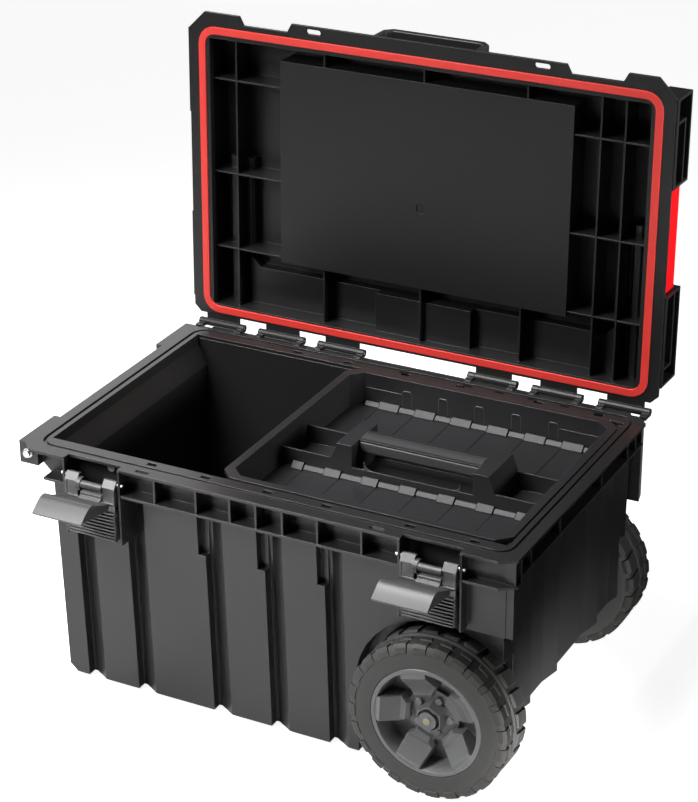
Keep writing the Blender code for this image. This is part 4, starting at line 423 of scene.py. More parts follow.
def copy_node(node: str, name: str, finish: Finish, edge: float) -> None:
    """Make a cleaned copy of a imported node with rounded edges, which then stands for it.

    Args:
        node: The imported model's node.
        name: The copy's name.
        finish: The copy's finish.
        edge: How wide the rounding is.
    """
    shape = bmesh.new()
    shape.from_mesh(frame["nodes"][node].data)
    bmesh.ops.remove_doubles(shape, verts=shape.verts, dist=WELD)
    flat = math.radians(FLAT_DEG)
    bmesh.ops.dissolve_limit(shape, angle_limit=flat, verts=shape.verts, edges=shape.edges)
    bmesh.ops.recalc_face_normals(shape, faces=shape.faces)
    piece = from_shape(name, shape)
    settle(piece, body_of(node), finish)
    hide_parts(node)
    sharp = math.radians(COPY_SHARP_DEG)
    bevel = piece.modifiers.new("soft_edges", "BEVEL")
    bevel.width = edge
    bevel.segments = BEVEL_STEPS
    bevel.limit_method = "ANGLE"
    bevel.angle_limit = sharp
    bevel.use_clamp_overlap = False
    bevel.harden_normals = True
    piece.data.shade_smooth()
    piece.data.set_sharp_from_angle(angle=sharp)


def loft(shape: Shape, rows: Sequence[Sequence[Vector]], closed: bool = False) -> None:
    """Add one closed solid through rows of points.

    Args:
        shape: The shape that it is added to.
        rows: Cross sections in order, all with the same number of points.
        closed: Whether the last row joins the first one, with no end faces.
    """
    made = [[shape.verts.new(point) for point in row] for row in rows]
    pairs = list(zip(made, made[1:]))
    if closed:
        pairs.append((made[-1], made[0]))
    for near, far in pairs:
        for place in range(len(near)):
            after = (place + 1) % len(near)
            shape.faces.new((near[place], near[after], far[after], far[place]))
    if not closed:
        shape.faces.new(made[0][::-1])
        shape.faces.new(made[-1])


def pull_x(shape: Shape, outline: Outline, start: float, end: float) -> None:
    """Add an outline in Y and Z, pulled along X.

    Args:
        shape: The shape that it is added to.
        outline: The corners.
        start: Where it starts on X.
        end: Where it ends on X.
    """
    loft(shape, [[Vector((x, y, z)) for y, z in outline] for x in (start, end)])


def strip(start: float, end: float, low: float, top: float) -> Outline:
    """The four corners of a bar in side view.

    Args:
        start: Its one side on Y.
        end: Its other side on Y.
        low: Its lower edge.
        top: Its upper edge.

    Returns:
        The corners.
    """
    return [(start, low), (start, top), (end, top), (end, low)]


def circle(centre: Point, radius: float, steps: int) -> Outline:
    """A circle in side view.

    Args:
        centre: Its middle.
        radius: Its radius.
        steps: How many corners it has.

    Returns:
        The corners.
    """
    turns = [2 * math.pi * step / steps for step in range(steps)]
    return [
        (centre[0] + radius * math.cos(turn), centre[1] + radius * math.sin(turn))
        for turn in turns
    ]


@dataclass(frozen=True)
class Lamp:
    """A square soft lamp that faces a point."""

    name: str
    place: Triple
    aim: Triple
    size: float
    power: float
    spread_deg: float

    def build(self) -> None:
        """Set up the lamp."""
        data = bpy.data.lights.new(self.name, "AREA")
        data.size = self.size
        data.energy = self.power
        data.spread = math.radians(self.spread_deg)
        made = bpy.data.objects.new(self.name, data)
        made.location = self.place
        facing = Vector(self.aim) - Vector(self.place)
        made.rotation_euler = facing.to_track_quat("-Z", "Y").to_euler()
        bpy.context.scene.collection.objects.link(made)


@dataclass(frozen=True)
class Square:
    """A plain flat square of the studio, in one tone."""

    name: str
    material: str
    half: float
    tone: float
    roughness: float
    specular: float

    def build(self) -> Piece:
        """Make the square and its material.

        Returns:
            The new object.
        """
        shape = bmesh.new()
        bmesh.ops.create_grid(shape, x_segments=1, y_segments=1, size=self.half)
        square = from_shape(self.name, shape)
        made = bpy.data.materials.new(self.material)
        made.use_nodes = True
        nodes = Nodes(made.node_tree)
        nodes.fill(
            nodes.tree.nodes["Principled BSDF"],
            Base_Color=(self.tone, self.tone, self.tone, 1.0),
            Roughness=self.roughness,
            Specular_IOR_Level=self.specular,
        )
        square.data.materials.append(made)
        return square


@dataclass
class Studio:
    """The camera, the floor and the lights."""

    lamps: tuple[Lamp, ...] = (
        Lamp("key", (-0.9, -1.3, 1.5), (-0.3, -0.7, 0.0), 0.8, 19.5, 100.0),
        Lamp("side", (1.7, 0.3, 0.8), (0.32, 0.25, 0.62), 0.4, 1.9, 35.0),
        Lamp("tread", (0.70, -0.42, 0.05), (0.3, -0.06, 0.04), 0.12, 0.75, 32.0),
        Lamp("overhead", (-0.7, -0.35, 2.5), (0.0, -0.1, 0.0), 0.9, 7.5, 60.0),
        Lamp("back", (-1.7, 1.9, 1.3), (-0.3, 0.0, 0.3), 1.0, 0.8, 60.0),
    )
    camera_place: Triple = (1.2076, -2.2794, 1.5844)
    camera_turn_deg: Triple = (64.5053, 0.4387, 27.4555)
    lens: float = 109.65
    sensor: float = 36.0
    farthest: float = 50.0
    ambient: float = 0.06
    floor: Square = Square("floor", "floor_white", 6.0, 0.80, 0.8, 0.1)
    floor_glow: float = 0.90
    card: Square = Square("dark_card", "card_black", 0.8, 0.004, 0.9, 0.0)
    card_place: Triple = (1.15, 0.75, 0.002)

    def build(self) -> None:
        """Set up everything round the object."""
        self.add_camera()
        self.add_world()
        self.add_floor()
        self.add_dark_card()
        for lamp in self.lamps:
            lamp.build()
        bpy.context.scene.view_settings.view_transform = "Standard"

    def add_camera(self) -> None:
        """The camera at the photograph's angle."""
        data = bpy.data.cameras.new("camera")
        data.lens = self.lens
        data.sensor_width = self.sensor
        data.clip_end = self.farthest
        camera = bpy.data.objects.new("camera", data)
        camera.location = self.camera_place
        camera.rotation_euler = [math.radians(turn) for turn in self.camera_turn_deg]
        bpy.context.scene.collection.objects.link(camera)
        bpy.context.scene.camera = camera

    def add_world(self) -> None:
        """A plain world, white to the camera and softer as a lamp."""
        world = bpy.data.worlds.new("studio")
        world.use_nodes = True
        bpy.context.scene.world = world
        nodes = Nodes(world.node_tree)
        strength = nodes.by_ray(self.ambient, 1.0)
        nodes.fill(nodes.tree.nodes["Background"], Color=WHITE, Strength=strength)

    def add_floor(self) -> None:
        """A plain pale floor, which glows a little to the camera alone."""
        floor = self.floor.build()
        nodes = Nodes(floor.active_material.node_tree)
        glow = nodes.by_ray(0.0, self.floor_glow)
        shader = nodes.tree.nodes["Principled BSDF"]
        nodes.fill(shader, Emission_Color=WHITE, Emission_Strength=glow)

    def add_dark_card(self) -> None:
        """A dark card behind the object's right side, which only reflections show."""
        card = self.card.build()
        card.location = self.card_place
        card.visible_camera = False
        card.visible_shadow = False


@dataclass
class Tub:
    """The tub's shell, its recess plug, and the shelf and painted slot shade along its back rim.
    """

    edge: float = 0.0007
    shelf_half: float = 0.288
    shelf_y: Triple = (0.1905, 0.1990, 0.1996)
    shelf_drops: Triple = (0.0010, 0.0022, 0.0100)
    hole_y: float = 0.1785
    hole_size: Point = (0.0115, 0.0042)
    holes_x: tuple[float, ...] = (-0.0042, 0.0826, 0.1249, 0.1689, 0.2105, 0.2551)

    def build(self) -> None:
        """Make the shell."""
        dress(frame["nodes"]["tub"], Finishes.SHELL)
        copy_node("latch_recess_plug", "recess_plug", Finishes.PLUG, self.edge)
        self.add_shelf()
        self.add_hole_shade()

    def add_shelf(self) -> None:
        """Add the low shelf behind the rim, under the hinge pins."""
        front, turn, back = self.shelf_y
        top, corner, low = (RIM - drop for drop in self.shelf_drops)
        outline = [(front, low), (front, top), (turn, top), (back, corner), (back, low)]
        shelf = bmesh.new()
        pull_x(shelf, outline, -self.shelf_half, self.shelf_half)
        settle(from_solids("rim_back_shelf", shelf), "tub", Finishes.SHELL)

    def add_hole_shade(self) -> None:
        """Add thin dark plates along the rim's back edge, painted shade where the slots are."""
        length, width = self.hole_size
        start = self.hole_y - width / 2
        end = self.hole_y + width / 2
        outline = strip(start, end, RIM - SUNK, RIM + PROUD)
        shade_plates = bmesh.new()
        for middle in self.holes_x:
            pull_x(shade_plates, outline, middle - length / 2, middle + length / 2)
        settle(from_solids("rim_back_hole_shade", shade_plates), "tub", Finishes.HOLE_SHADE)


@dataclass
class Lid:
    """The lid's shell and what is fixed to it."""

    edge: float = 0.0007
    hinge: Point = (0.2045, 0.3177)
    barrel: float = 0.0045
    barrel_steps: int = 24
    barrel_gap: float = 0.0004
    tab_length: float = 0.047
    tabs_x: tuple[float, ...] = (0.0810, 0.1670, 0.2540)

    def build(self) -> None:
        """Make the lid's pieces."""
        dress(frame["nodes"]["lid"], Finishes.LID)
        copy_node("lid_carry_handle", "carry_handle", Finishes.HANDLE, self.edge * 2)
        for side in (Side.LEFT, Side.RIGHT):
            node = f"lid_band_{side.value}"
            copy_node(node, f"band_{side.value}", Finishes.BAND, self.edge)
        copy_node("lid_seal", "seal", Finishes.SEAL, self.edge)
        self.add_barrels()

    def add_barrels(self) -> None:
        """Add the tabs' round ends on the hinge pins, which turn about their own line."""
        outline = circle(self.hinge, self.barrel, self.barrel_steps)
        barrels = bmesh.new()
        for tab in self.tabs_x:
            near = tab + self.barrel_gap
            far = tab + self.tab_length - self.barrel_gap
            for sign in (-1, 1):
                pull_x(barrels, outline, *sorted((sign * near, sign * far)))
        settle(from_solids("hinge_barrels", barrels), "lid", Finishes.LID)


@dataclass(frozen=True)
class TabRow:
    """Sloped tabs at the foot of a tray wall, and the painted shade of the floor's grooves."""

    first: float
    wall: float
    grooves_end: float
    wide_height: float
    narrow_height: float


@dataclass
class Tray:
    """The lift-out tray, with tabs, wall slots, a rounded grip bar, and painted shade and
    highlights.
    """

    floor: float = 0.275
    wall: float = 0.1555
    divider: float = 0.03325
    left: float = -0.0440
    right: float = 0.2640
    pitch: float = 0.049
    pitches: tuple[int, int] = (-2, 6)
    tab: float = 0.0275
    tab_gap: float = 0.0005
    shortest_tab: float = 0.006
    tab_sunk: float = 0.0005
    tab_foot: float = 0.0010
    tab_lip: float = 0.0012
    tab_crest: float = 0.0014
    groove_half: float = 0.0005
    groove_start: float = 0.008
    rows: tuple[TabRow, ...] = (
        TabRow(0.024, 0.1555, 0.03325, 0.0075, 0.0052),
        TabRow(0.020, -0.03325, -0.1555, 0.0050, 0.0075),
    )
    slots: int = 5
    first_slot: float = 0.0125
    slot_pitch: float = 0.0486
    slot_half: float = 0.0062
    slot_drop: float = 0.0118
    hood_bend: Point = (0.0018, 0.0022)
    hood_out: float = 0.0012
    hood_drops: Triple = (0.0002, 0.0016, 0.0020)
    line_half: float = 0.0003
    line_out: float = 0.0003
    line_foot: float = 0.008
    line_head: float = 0.003
    steps: tuple[Triple, ...] = ((-0.0440, 0.004, 0.0176), (0.215, 0.2640, 0.0186))
    step_out: float = 0.0005
    step_drops: Point = (0.0007, 0.0012)
    bar_x: Point = (0.0335, 0.1875)
    bar_half: float = 0.0143
    bar_foot: float = 0.0120
    bar_shoulder: float = 0.0030
    bar_crown: float = 0.0058
    bar_steps: int = 12
    notch_x: Point = (0.049, 0.172)
    notch_drop: float = 0.026
    notch_round: float = 0.010
    notch_steps: int = 8
    divider_gap: float = 0.0001
    divider_wall: float = 0.0022

    def build(self) -> None:
        """Make the tray."""
        dress(frame["nodes"]["tray"], Finishes.TRAY)
        tabs = bmesh.new()
        # Dark strips on the floor are painted shade in its grooves.
        groove_shade = bmesh.new()
        for row in self.rows:
            self.add_row(tabs, groove_shade, row)
        settle(from_solids("tray_tabs", tabs), "tray", Finishes.TRAY_TAB)
        settle(from_solids("tray_groove_shade", groove_shade), "tray", Finishes.GROOVE_SHADE)
        # The slots' hoods and lines, the wall's steps and the grip bar take a painted highlight.
        highlit_marks = bmesh.new()
        self.add_slots(highlit_marks)
        self.add_wall_steps(highlit_marks)
        settle(from_solids("tray_wall_highlights", highlit_marks), "tray", Finishes.TRAY_HIGHLIGHT)
        grip = bmesh.new()
        self.add_bar(grip)
        self.add_notch_corners(grip)
        settle(from_solids("tray_grip_bar", grip), "tray", Finishes.TRAY_HIGHLIGHT)

    def add_row(self, tabs: Shape, groove_shade: Shape, row: TabRow) -> None:
        """Add a wall's tabs, wide and narrow in turn, and the painted shade of the floor's
        grooves.

        Args:
            tabs: The shape of the tabs.
            groove_shade: The shape of the dark strips that paint the grooves' shade.
            row: The row's place and heights.
        """
        groove_strip = strip(
            row.wall - self.groove_start, row.grooves_end, self.floor - SUNK, self.floor + PROUD
        )
        for number in range(*self.pitches):
            start = row.first + self.pitch * number
            split = start + self.tab
            for low, high, height in (
                (start, split, row.wide_height),
                (split, start + self.pitch, row.narrow_height),
            ):
                low = max(low + self.tab_gap, self.left)
                high = min(high - self.tab_gap, self.right)
                if high - low > self.shortest_tab:
                    pull_x(tabs, self.wedge(row.wall, height), low, high)
            if self.left < start < self.right:
                pull_x(groove_shade, groove_strip, start - self.groove_half, start + self.groove_half)

    def wedge(self, wall: float, height: float) -> Outline:
        """A tab's section.

        Args:
            wall: The wall's face on Y.
            height: How high the tab is.

        Returns:
            The corners.
        """
        low = self.floor - self.tab_sunk
        top = self.floor + height
        foot = wall - height - self.tab_foot
        return [
            (wall + SUNK, low), (foot, low), (foot, self.floor + self.tab_lip),
            (wall - self.tab_crest, top), (wall + SUNK, top),
        ]

    def add_slots(self, shape: Shape) -> None:
        """Add the hoods and side lines of the slots in the back wall.

        Args:
            shape: The shape that they are added to.
        """
        half = self.slot_half
        bend, fall = self.hood_bend
        chamfer, face, root = self.hood_drops
        top = RIM - self.slot_drop
        inner = self.wall + SUNK
        outer = self.wall - self.hood_out
        low = self.floor + self.line_foot
        high = top - self.line_head
        edge = self.wall - self.line_out
        line = [(inner, low), (edge, low), (edge, high), (inner, high)]
        for number in range(self.slots):
            middle = self.first_slot + self.slot_pitch * number
            rows = []
            for offset, drop in ((-half, fall), (-half + bend, 0), (half - bend, 0), (half, fall)):
                z = top - drop
                section = ((inner, z), (outer, z - chamfer), (outer, z - face), (inner, z - root))
                rows.append([Vector((middle + offset, y, height)) for y, height in section])
            loft(shape, rows)
            for side in (-half, half):
                centre = middle + side
                pull_x(shape, line, centre - self.line_half, centre + self.line_half)

    def add_wall_steps(self, shape: Shape) -> None:
        """Add the low steps at both ends of the back wall.

        Args:
            shape: The shape that they are added to.
        """
        inner = self.wall + SUNK
        outer = self.wall - self.step_out
        face, root = self.step_drops
        for start, end, drop in self.steps:
            z = RIM - drop
            section = [(inner, z), (outer, z), (outer, z - face), (inner, z - root)]
            pull_x(shape, section, start, end)

    def add_bar(self, shape: Shape) -> None:
        """Add the rounded bar of the grip.

        Args:
            shape: The shape that it is added to.
        """
        half = self.bar_half
        foot = RIM - self.bar_foot
        shoulder = RIM - self.bar_shoulder
        outline = [(half, foot), (half, shoulder)]
        for step in range(1, self.bar_steps):
            turn = math.pi * step / self.bar_steps
            outline.append((half * math.cos(turn), shoulder + self.bar_crown * math.sin(turn)))
        outline += [(-half, shoulder), (-half, foot)]
        pull_x(shape, outline, *self.bar_x)

    def add_notch_corners(self, shape: Shape) -> None:
        """Round the lower corners of the finger space in both dividers.

        Args:
            shape: The shape that they are added to.
        """
        low = RIM - self.notch_drop
        size = self.notch_round
        starts = (
            -self.divider + self.divider_gap,
            self.divider - self.divider_gap - self.divider_wall,
        )
        for x, toward in zip(self.notch_x, (1, -1)):
            corner = [(x - toward * SUNK, low - SUNK), (x + toward * size, low - SUNK)]
            for step in range(self.notch_steps + 1):
                turn = math.pi / 2 * step / self.notch_steps
                across = x + toward * size * (1 - math.sin(turn))
                corner.append((across, low + size * (1 - math.cos(turn))))
            corner.append((x - toward * SUNK, low + size))
            for start in starts:
                ends = (start, start + self.divider_wall)
                loft(shape, [[Vector((h, depth, v)) for h, v in corner] for depth in ends])


@dataclass(frozen=True)
class Axle:
    """The wheels' axis, and the side that a wheel is on.

    Outlines round it give each corner's radius and distance along the axis.
    """

    side: Side
    x: float = 0.218
    z: float = 0.098

    def at(self, radius: float, turn_deg: float, along: float) -> Vector:
        """A point in the model.

        Args:
            radius: The distance from the axis.
            turn_deg: The angle from the X axis, towards the top.
            along: The distance from the toolbox's middle.

        Returns:
            The point.
        """
        turn = math.radians(turn_deg)
        x = self.x + radius * math.cos(turn)
        z = self.z + radius * math.sin(turn)
        return Vector((x, self.side.sign * along, z))

    def section(self, outline: Outline, turn_deg: float, slant_deg: float = 0.0) -> list[Vector]:
        """An outline of radii and distances along the axis, stood at one angle.

        Args:
            outline: The corners.
            turn_deg: The angle of the outline's first corner.
            slant_deg: How far the angle turns for each millimetre along the axis.

        Returns:
            The corners as points.
        """
        start = outline[0][1]
        return [
            self.at(radius, turn_deg + slant_deg * (along - start) * 1000, along)
            for radius, along in outline
        ]

    def sweep(
        self,
        outline: Outline,
        start_deg: float,
        end_deg: float,
        steps: int,
        slant_deg: float = 0.0,
    ) -> list[list[Vector]]:
        """Rows of an outline swept round the axis.

        Args:
            outline: The corners.
            start_deg: The first row's angle.
            end_deg: The last row's angle.
            steps: How many steps lie between them.
            slant_deg: How far the angle turns for each millimetre along the axis.

        Returns:
            The rows.
        """
        step = (end_deg - start_deg) / steps
        return [
            self.section(outline, start_deg + step * row, slant_deg) for row in range(steps + 1)
        ]

    def ring(self, outline: Outline, steps: int) -> list[list[Vector]]:
        """Rows of an outline swept once round the axis, without the last one."""
        return self.sweep(outline, 0.0, 360.0, steps)[:-1]


@dataclass(frozen=True)
class Block:
    """A block of a tyre's tread: its section, and the angles that it fills."""

    outline: Outline
    start_deg: float
    end_deg: float
    steps: int
    slant_deg: float = 0.0


@dataclass
class Tyre:
    """One tyre, with blocks on both shoulders and a ridge round its middle."""

    axle: Axle
    shape: Shape = field(default_factory=bmesh.new)
    carcass: Outline = (
        (0.0683, 0.2170), (0.0865, 0.2170), (0.0885, 0.2162), (0.0930, 0.2135),
        (0.0950, 0.2110), (0.0950, 0.19025), (0.0971, 0.18895), (0.0975, 0.18775),
        (0.0971, 0.18655), (0.0950, 0.18525), (0.0950, 0.1645), (0.0930, 0.1610),
        (0.0875, 0.1585), (0.0683, 0.1585),
    )
    steps: int = 144
    pitches: int = 24
    # One pitch: a wide and a narrow block on the outer shoulder, and two behind them.
    wide: Outline = (
        (0.0875, 0.2179), (0.0943, 0.2164), (0.0978, 0.2134), (0.0974, 0.2045),
        (0.0930, 0.2030), (0.0930, 0.2120), (0.0875, 0.2150),
    )
    narrow: Outline = (
        (0.0859, 0.2174), (0.0933, 0.2154), (0.0962, 0.2128), (0.0958, 0.2075),
        (0.0930, 0.2060), (0.0930, 0.2120), (0.0859, 0.2150),
    )
    far: Outline = (
        (0.0962, 0.18275), (0.0978, 0.18075), (0.0978, 0.1615), (0.0938, 0.1581),
        (0.0885, 0.1581), (0.0930, 0.1615), (0.0930, 0.18275),
    )
    near: Outline = (
        (0.0964, 0.19875), (0.0966, 0.19275), (0.0930, 0.19175), (0.0930, 0.19975),
    )
    blocks: tuple[Block, ...] = (
        Block(wide, 0.2, 9.6, 3), Block(narrow, 9.9, 14.7, 2),
        Block(far, 1.2, 11.7, 3, 0.10), Block(near, 0.8, 9.0, 3, -0.12),
    )

    def build(self) -> None:
        """Make the tyre."""
        node = f"tyre_{self.axle.side.value}"
        loft(self.shape, self.axle.ring(self.carcass, self.steps), closed=True)
        for number in range(self.pitches):
            self.add_blocks(number * 360.0 / self.pitches)
        tyre = from_solids(f"{node}_rubber", self.shape)
        settle(tyre, body_of(node), Finishes.TYRE)
        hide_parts(node)

    def add_blocks(self, turn_deg: float) -> None:
        """Add the blocks of one pitch.

        Args:
            turn_deg: The angle where it starts.
        """
        for block in self.blocks:
            start = turn_deg + block.start_deg
            end = turn_deg + block.end_deg
            rows = self.axle.sweep(block.outline, start, end, block.steps, block.slant_deg)
            loft(self.shape, rows)


@dataclass
class Hub:
    """One wheel's hub, with five faceted spokes in front of a closed web."""

    axle: Axle
    shape: Shape = field(default_factory=bmesh.new)
    ring: Outline = (
        (0.0620, 0.2160), (0.0628, 0.2172), (0.0670, 0.2172), (0.0680, 0.2162),
        (0.0680, 0.1588), (0.0620, 0.1588), (0.0580, 0.1882),
    )
    ring_steps: int = 96
    plate: Outline = (
        (0.0135, 0.1957), (0.0320, 0.1957), (0.0320, 0.1902), (0.0620, 0.1902),
        (0.0620, 0.1862), (0.0135, 0.1862),
    )
    plate_steps: int = 64
    face: float = 0.2172
    web_drop: float = 0.027
    boss_drop: float = 0.0215
    spokes: int = 5
    first_deg: float = 105.0
    # Each station of a spoke: the reach from the axis, the rise over the face, half its width.
    stations: tuple[Triple, ...] = (
        (0.0255, -0.0150, 0.0090), (0.0300, -0.0110, 0.0105), (0.0370, -0.0140, 0.0165),
        (0.0560, 0.0012, 0.0155), (0.0625, -0.0010, 0.0150),
    )
    spoke_foot: float = 0.0012
    lug_circle: float = 0.0215
    lug: float = 0.0045
    lug_height: float = 0.0040
    lug_length: float = 0.006
    lug_round: float = 0.0008
    lug_steps: int = 20
    collar: Point = (0.0185, 0.0165)
    collar_bore: Point = (0.0132, 0.0128)
    collar_drop: float = 0.0085
    collar_steps: int = 36
    sunk: float = 0.001

    def build(self) -> None:
        """Make the hub."""
        side = self.axle.side.value
        node = f"wheel_hub_{side}"
        loft(self.shape, self.axle.ring(self.ring, self.ring_steps), closed=True)
        loft(self.shape, self.axle.ring(self.plate, self.plate_steps), closed=True)
        pitch = 360.0 / self.spokes
        for number in range(self.spokes):
            self.add_spoke(self.first_deg + number * pitch)
            self.add_lug(self.first_deg + (number + 0.5) * pitch)
        self.add_collar()
        hub = from_solids(f"hub_{side}", self.shape)
        settle(hub, body_of(node), Finishes.HUB)
        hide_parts(node)

    def add_spoke(self, turn_deg: float) -> None:
        """Add a broad spoke that dips from the ring towards the boss.

        Args:
            turn_deg: The spoke's angle.
        """
        low = self.face - self.web_drop - self.sunk
        rows = []
        for reach, rise, half in self.stations:
            top = self.face + rise
            foot = half + self.spoke_foot
            corners = ((half, top), (-half, top), (-foot, low), (foot, low))
            rows.append(
                [self.beside(reach, turn_deg, offset, along) for offset, along in corners]
            )
        loft(self.shape, rows)

    def beside(self, reach: float, turn_deg: float, offset: float, along: float) -> Vector:
        """A point beside a spoke's middle line.

        Args:
            reach: The distance from the axis along the spoke.
            turn_deg: The spoke's angle.
            offset: The distance to the side.
            along: The distance along the axis.

        Returns:
            The point.
        """
        radius = math.hypot(reach, offset)
        return self.axle.at(radius, turn_deg + math.degrees(math.atan2(offset, reach)), along)

    def add_lug(self, turn_deg: float) -> None:
        """Add a round lug head on the boss.

        Args:
            turn_deg: The lug's angle.
        """
        top = self.face - self.boss_drop + self.lug_height
        levels = (
            (self.lug, top - self.lug_length),
            (self.lug, top - self.lug_round),
            (self.lug - self.lug_round, top),
        )
        centre = self.axle.at(self.lug_circle, turn_deg, 0.0)
        angles = [2 * math.pi * step / self.lug_steps for step in range(self.lug_steps)]
        rows = []
        for radius, along in levels:
            y = self.axle.side.sign * along
            rows.append(
                [
                    centre + Vector((radius * math.cos(angle), y, radius * math.sin(angle)))
                    for angle in angles
                ]
            )
        loft(self.shape, rows)

    def add_collar(self) -> None:
        """Add the six-sided collar round the axle's nut."""
        base = self.face - self.boss_drop - self.sunk
        top = self.face - self.collar_drop
        foot, head = self.collar
        bore_top, bore_foot = self.collar_bore
        rows = []
        for step in range(self.collar_steps):
            turn = step * 360.0 / self.collar_steps
            from_flat = math.radians((turn + 30.0) % 60.0 - 30.0)
            flat = math.cos(math.radians(30.0)) / math.cos(from_flat)
            outline = [(foot * flat, base), (head * flat, top), (bore_top, top), (bore_foot, base)]
            rows.append(self.axle.section(outline, turn))
        loft(self.shape, rows, closed=True)


@dataclass
class Wheels:
    """Both wheels, with the rounded ends of their axle."""

    tip_steps: int = 20
    # Each level of an axle's end: its radius, and how far it stands out of the axle.
    tip_levels: tuple[Point, ...] = (
        (0.0047, -0.0030), (0.0047, 0.0002), (0.0040, 0.0009), (0.0022, 0.0013),
    )

    def build(self) -> None:
        """Make the wheels."""
        for side in (Side.FRONT, Side.BACK):
            axle = Axle(side)
            Tyre(axle).build()
            Hub(axle).build()
            self.add_tip(axle)

    def add_tip(self, axle: Axle) -> None:
        """Add the rounded end of the axle inside its nut.

        Args:
            axle: The axis on the tip's side.
        """
        node = frame["nodes"]["axle"]
        reach = max((node.matrix_world @ corner.co).y for corner in node.data.vertices)
        step_deg = 360.0 / self.tip_steps
        shape = bmesh.new()
        rows = [
            [axle.at(radius, step * step_deg, reach + along) for step in range(self.tip_steps)]
            for radius, along in self.tip_levels
        ]
        loft(shape, rows)
        tip = from_solids(f"axle_tip_{axle.side.value}", shape)
        settle(tip, body_of("axle"), Finishes.AXLE_TIP)


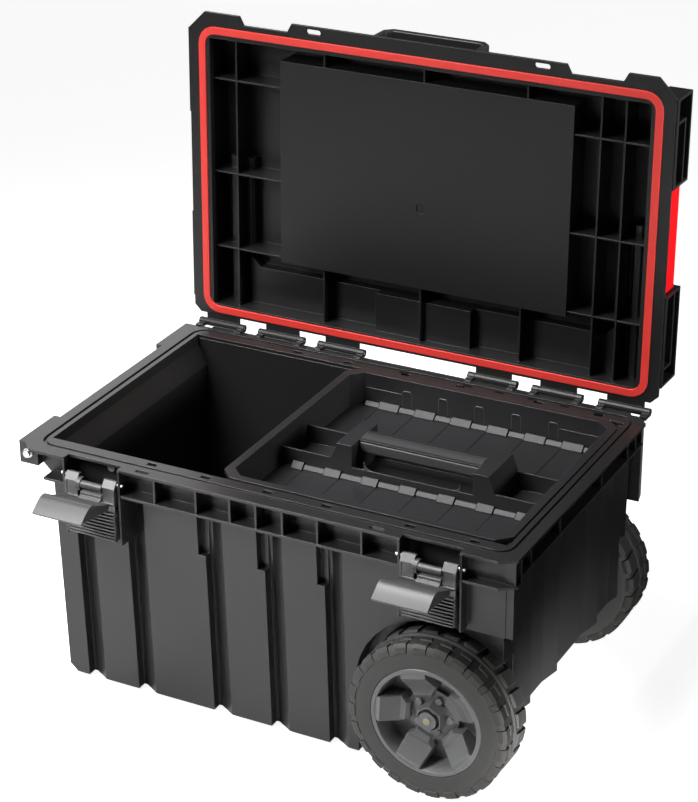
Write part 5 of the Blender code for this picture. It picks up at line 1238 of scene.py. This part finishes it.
@dataclass
class Latches:
    """Both latches: a lever with boxed lugs over a ribbed plate, and a hook with a bent skin.

    Outlines are side views: the place on Y, and the height over the rim.
    """

    middle: float = 0.216
    half: float = 0.0335
    front: float = -0.2095
    panel: float = -0.2085
    back: float = -0.1975
    lug: float = 0.0165
    lug_outline: Outline = (
        (-0.1975, -0.0210), (-0.1990, -0.0172), (-0.2030, -0.0165), (-0.2093, -0.0245),
        (-0.2085, -0.0262), (-0.2085, -0.0470), (-0.1975, -0.0470),
    )
    frame_width: float = 0.0018
    frame_tops: Point = (-0.0250, -0.0258)
    overlap: float = 0.001
    plate_top: float = -0.0440
    plate_low: float = -0.0920
    plate_depth: float = 0.0028
    panel_low: float = -0.0538
    # The bars across the plate, from top to low: one at its head, two at its foot.
    head_bar: Point = (-0.0430, -0.0446)
    foot_bars: tuple[Point, ...] = ((-0.0902, -0.0920), (-0.0862, -0.0884))
    ribs: int = 7
    first_rib: float = -0.0560
    rib_pitch: float = 0.0044
    rib_width: float = 0.0020
    circle_steps: int = 28
    cheek_place: Point = (-0.2035, -0.0290)
    cheek_radius: float = 0.0085
    cheek_width: float = 0.0050
    bar_place: Point = (-0.2065, -0.0275)
    bar_radius: float = 0.0046
    play: float = 0.0005
    hook_half: float = 0.0330
    skin_offset: Point = (0.0012, -0.0026)
    skin_top: Outline = (
        (-0.2475, -0.0262), (-0.2500, -0.0243), (-0.2530, -0.0234), (-0.2565, -0.0232),
        (-0.2605, -0.0241), (-0.2650, -0.0265), (-0.2700, -0.0300), (-0.2745, -0.0334),
        (-0.2780, -0.0362),
    )
    wedge_inset: float = 0.0022
    wedge: Outline = (
        (-0.2470, -0.0272), (-0.2600, -0.0258), (-0.2745, -0.0352), (-0.2730, -0.0378),
        (-0.2510, -0.0415), (-0.2200, -0.0462), (-0.2170, -0.0440), (-0.2170, -0.0405),
    )
    neck: Outline = (
        (-0.2030, -0.0328), (-0.2078, -0.0338), (-0.2108, -0.0362), (-0.2112, -0.0392),
        (-0.2190, -0.0425), (-0.2190, -0.0455), (-0.2060, -0.0395), (-0.2030, -0.0380),
    )

    def build(self) -> None:
        """Make the latches."""
        for side in (Side.LEFT, Side.RIGHT):
            self.build_lever(side)
            self.build_hook(side)

    @staticmethod
    def pull(shape: Shape, outline: Outline, start: float, end: float) -> None:
        """Add a side view, pulled along X.

        Args:
            shape: The shape that it is added to.
            outline: The corners, on Y and over the rim.
            start: Where it starts on X.
            end: Where it ends on X.
        """
        pull_x(shape, [(y, RIM + z) for y, z in outline], start, end)

    def build_lever(self, side: Side) -> None:
        """Make one lever.

        Args:
            side: The latch's side.
        """
        middle = side.sign * self.middle
        shape = bmesh.new()
        self.add_lugs(shape, middle)
        self.add_plate(shape, middle)
        cheek = circle(self.cheek_place, self.cheek_radius, self.circle_steps)
        start = middle - (self.half - self.lug)
        self.pull(shape, cheek, start - self.overlap, start + self.cheek_width)
        lever = from_solids(f"lever_{side.value}", shape)
        node = f"latch_lever_{side.value}"
        settle(lever, body_of(node), Finishes.LATCH)
        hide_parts(node)

    def add_lugs(self, shape: Shape, middle: float) -> None:
        """Add the boxed lugs at both sides of a lever, with the frame's strips under them.

        Args:
            shape: The lever's shape.
            middle: The lever's place on X.
        """
        inner = self.panel + self.overlap
        top_inner, top_outer = self.frame_tops
        frame_line = [
            (inner, top_inner), (self.front, top_outer), (self.front, self.plate_low),
            (inner, self.plate_low),
        ]
        for sign in (-1, 1):
            end = middle + sign * self.half
            for outline, width in ((self.lug_outline, self.lug), (frame_line, self.frame_width)):
                start = middle + sign * (self.half - width)
                self.pull(shape, outline, *sorted((start, end)))

    def add_plate(self, shape: Shape, middle: float) -> None:
        """Add a lever's sunk plate, the panel over it, and the bars and ribs across it.

        Args:
            shape: The lever's shape.
            middle: The lever's place on X.
        """
        left = middle - self.half
        right = middle + self.half
        sunk = self.front + self.plate_depth
        for face, low in ((sunk, self.plate_low + SUNK), (self.panel, self.panel_low)):
            outline = strip(face, self.back, low, self.plate_top)
            self.pull(shape, outline, left + SUNK, right - SUNK)
        bars = [(self.panel + self.overlap, *self.head_bar)]
        inner = sunk + self.overlap
        bars += [(inner, *bar) for bar in self.foot_bars]
        for number in range(self.ribs):
            top = self.first_rib - self.rib_pitch * number
            bars.append((inner, top, top - self.rib_width))
        for root, top, low in bars:
            self.pull(shape, strip(self.front, root, low, top), left, right)

    def build_hook(self, side: Side) -> None:
        """Make one hook.

        Args:
            side: The latch's side.
        """
        middle = side.sign * self.middle
        shape = bmesh.new()
        inward, down = self.skin_offset
        under = [(y + inward, z + down) for y, z in reversed(self.skin_top)]
        skin = [*self.skin_top, *under]
        self.pull(shape, skin, middle - self.hook_half, middle + self.hook_half)
        reach = self.hook_half - self.wedge_inset
        self.pull(shape, self.wedge, middle - reach, middle + reach)
        start = middle - self.half + self.lug + self.cheek_width + self.play
        end = middle + self.half - self.lug - self.play
        self.pull(shape, self.neck, start, end)
        bar = circle(self.bar_place, self.bar_radius, self.circle_steps)
        self.pull(shape, bar, start, end)
        hook = from_solids(f"hook_{side.value}", shape)
        node = f"latch_hook_{side.value}"
        settle(hook, body_of(node), Finishes.LATCH_SKIN)
        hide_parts(node)


@dataclass
class SmallParts:
    """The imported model's pins, bolts, washers, nuts, bushings, axle and tow handle."""

    moulded: tuple[str, ...] = ("tub", "lid", "tray")
    finishes: tuple[tuple[str, Finish], ...] = (
        ("axle_bushing", Finishes.BUSHING), ("axle_nut", Finishes.NUT),
        ("tow_handle_grip", Finishes.GRIP), ("tow_handle", Finishes.TUBE),
    )
    metal: Finish = Finishes.ZINC

    def build(self) -> None:
        """Give each of them its finish."""
        for name, node in sorted(frame["nodes"].items()):
            if not node.hide_render and name not in self.moulded:
                dress(node, self.finish_of(name))

    def finish_of(self, name: str) -> Finish:
        """The finish of a piece.

        Args:
            name: The node's name.

        Returns:
            The finish of the first listed start that the name has, or the metal one.
        """
        for start, finish in self.finishes:
            if name.startswith(start):
                return finish
        return self.metal


def main() -> None:
    """Build the looks, piece by piece."""
    logging.basicConfig(level=logging.INFO)
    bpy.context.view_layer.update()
    for part in (Studio(), Tub(), Lid(), Tray(), Wheels(), Latches(), SmallParts()):
        part.build()
        LOG.info("%s: built", type(part).__name__)


if __name__ == "__main__":
    main()
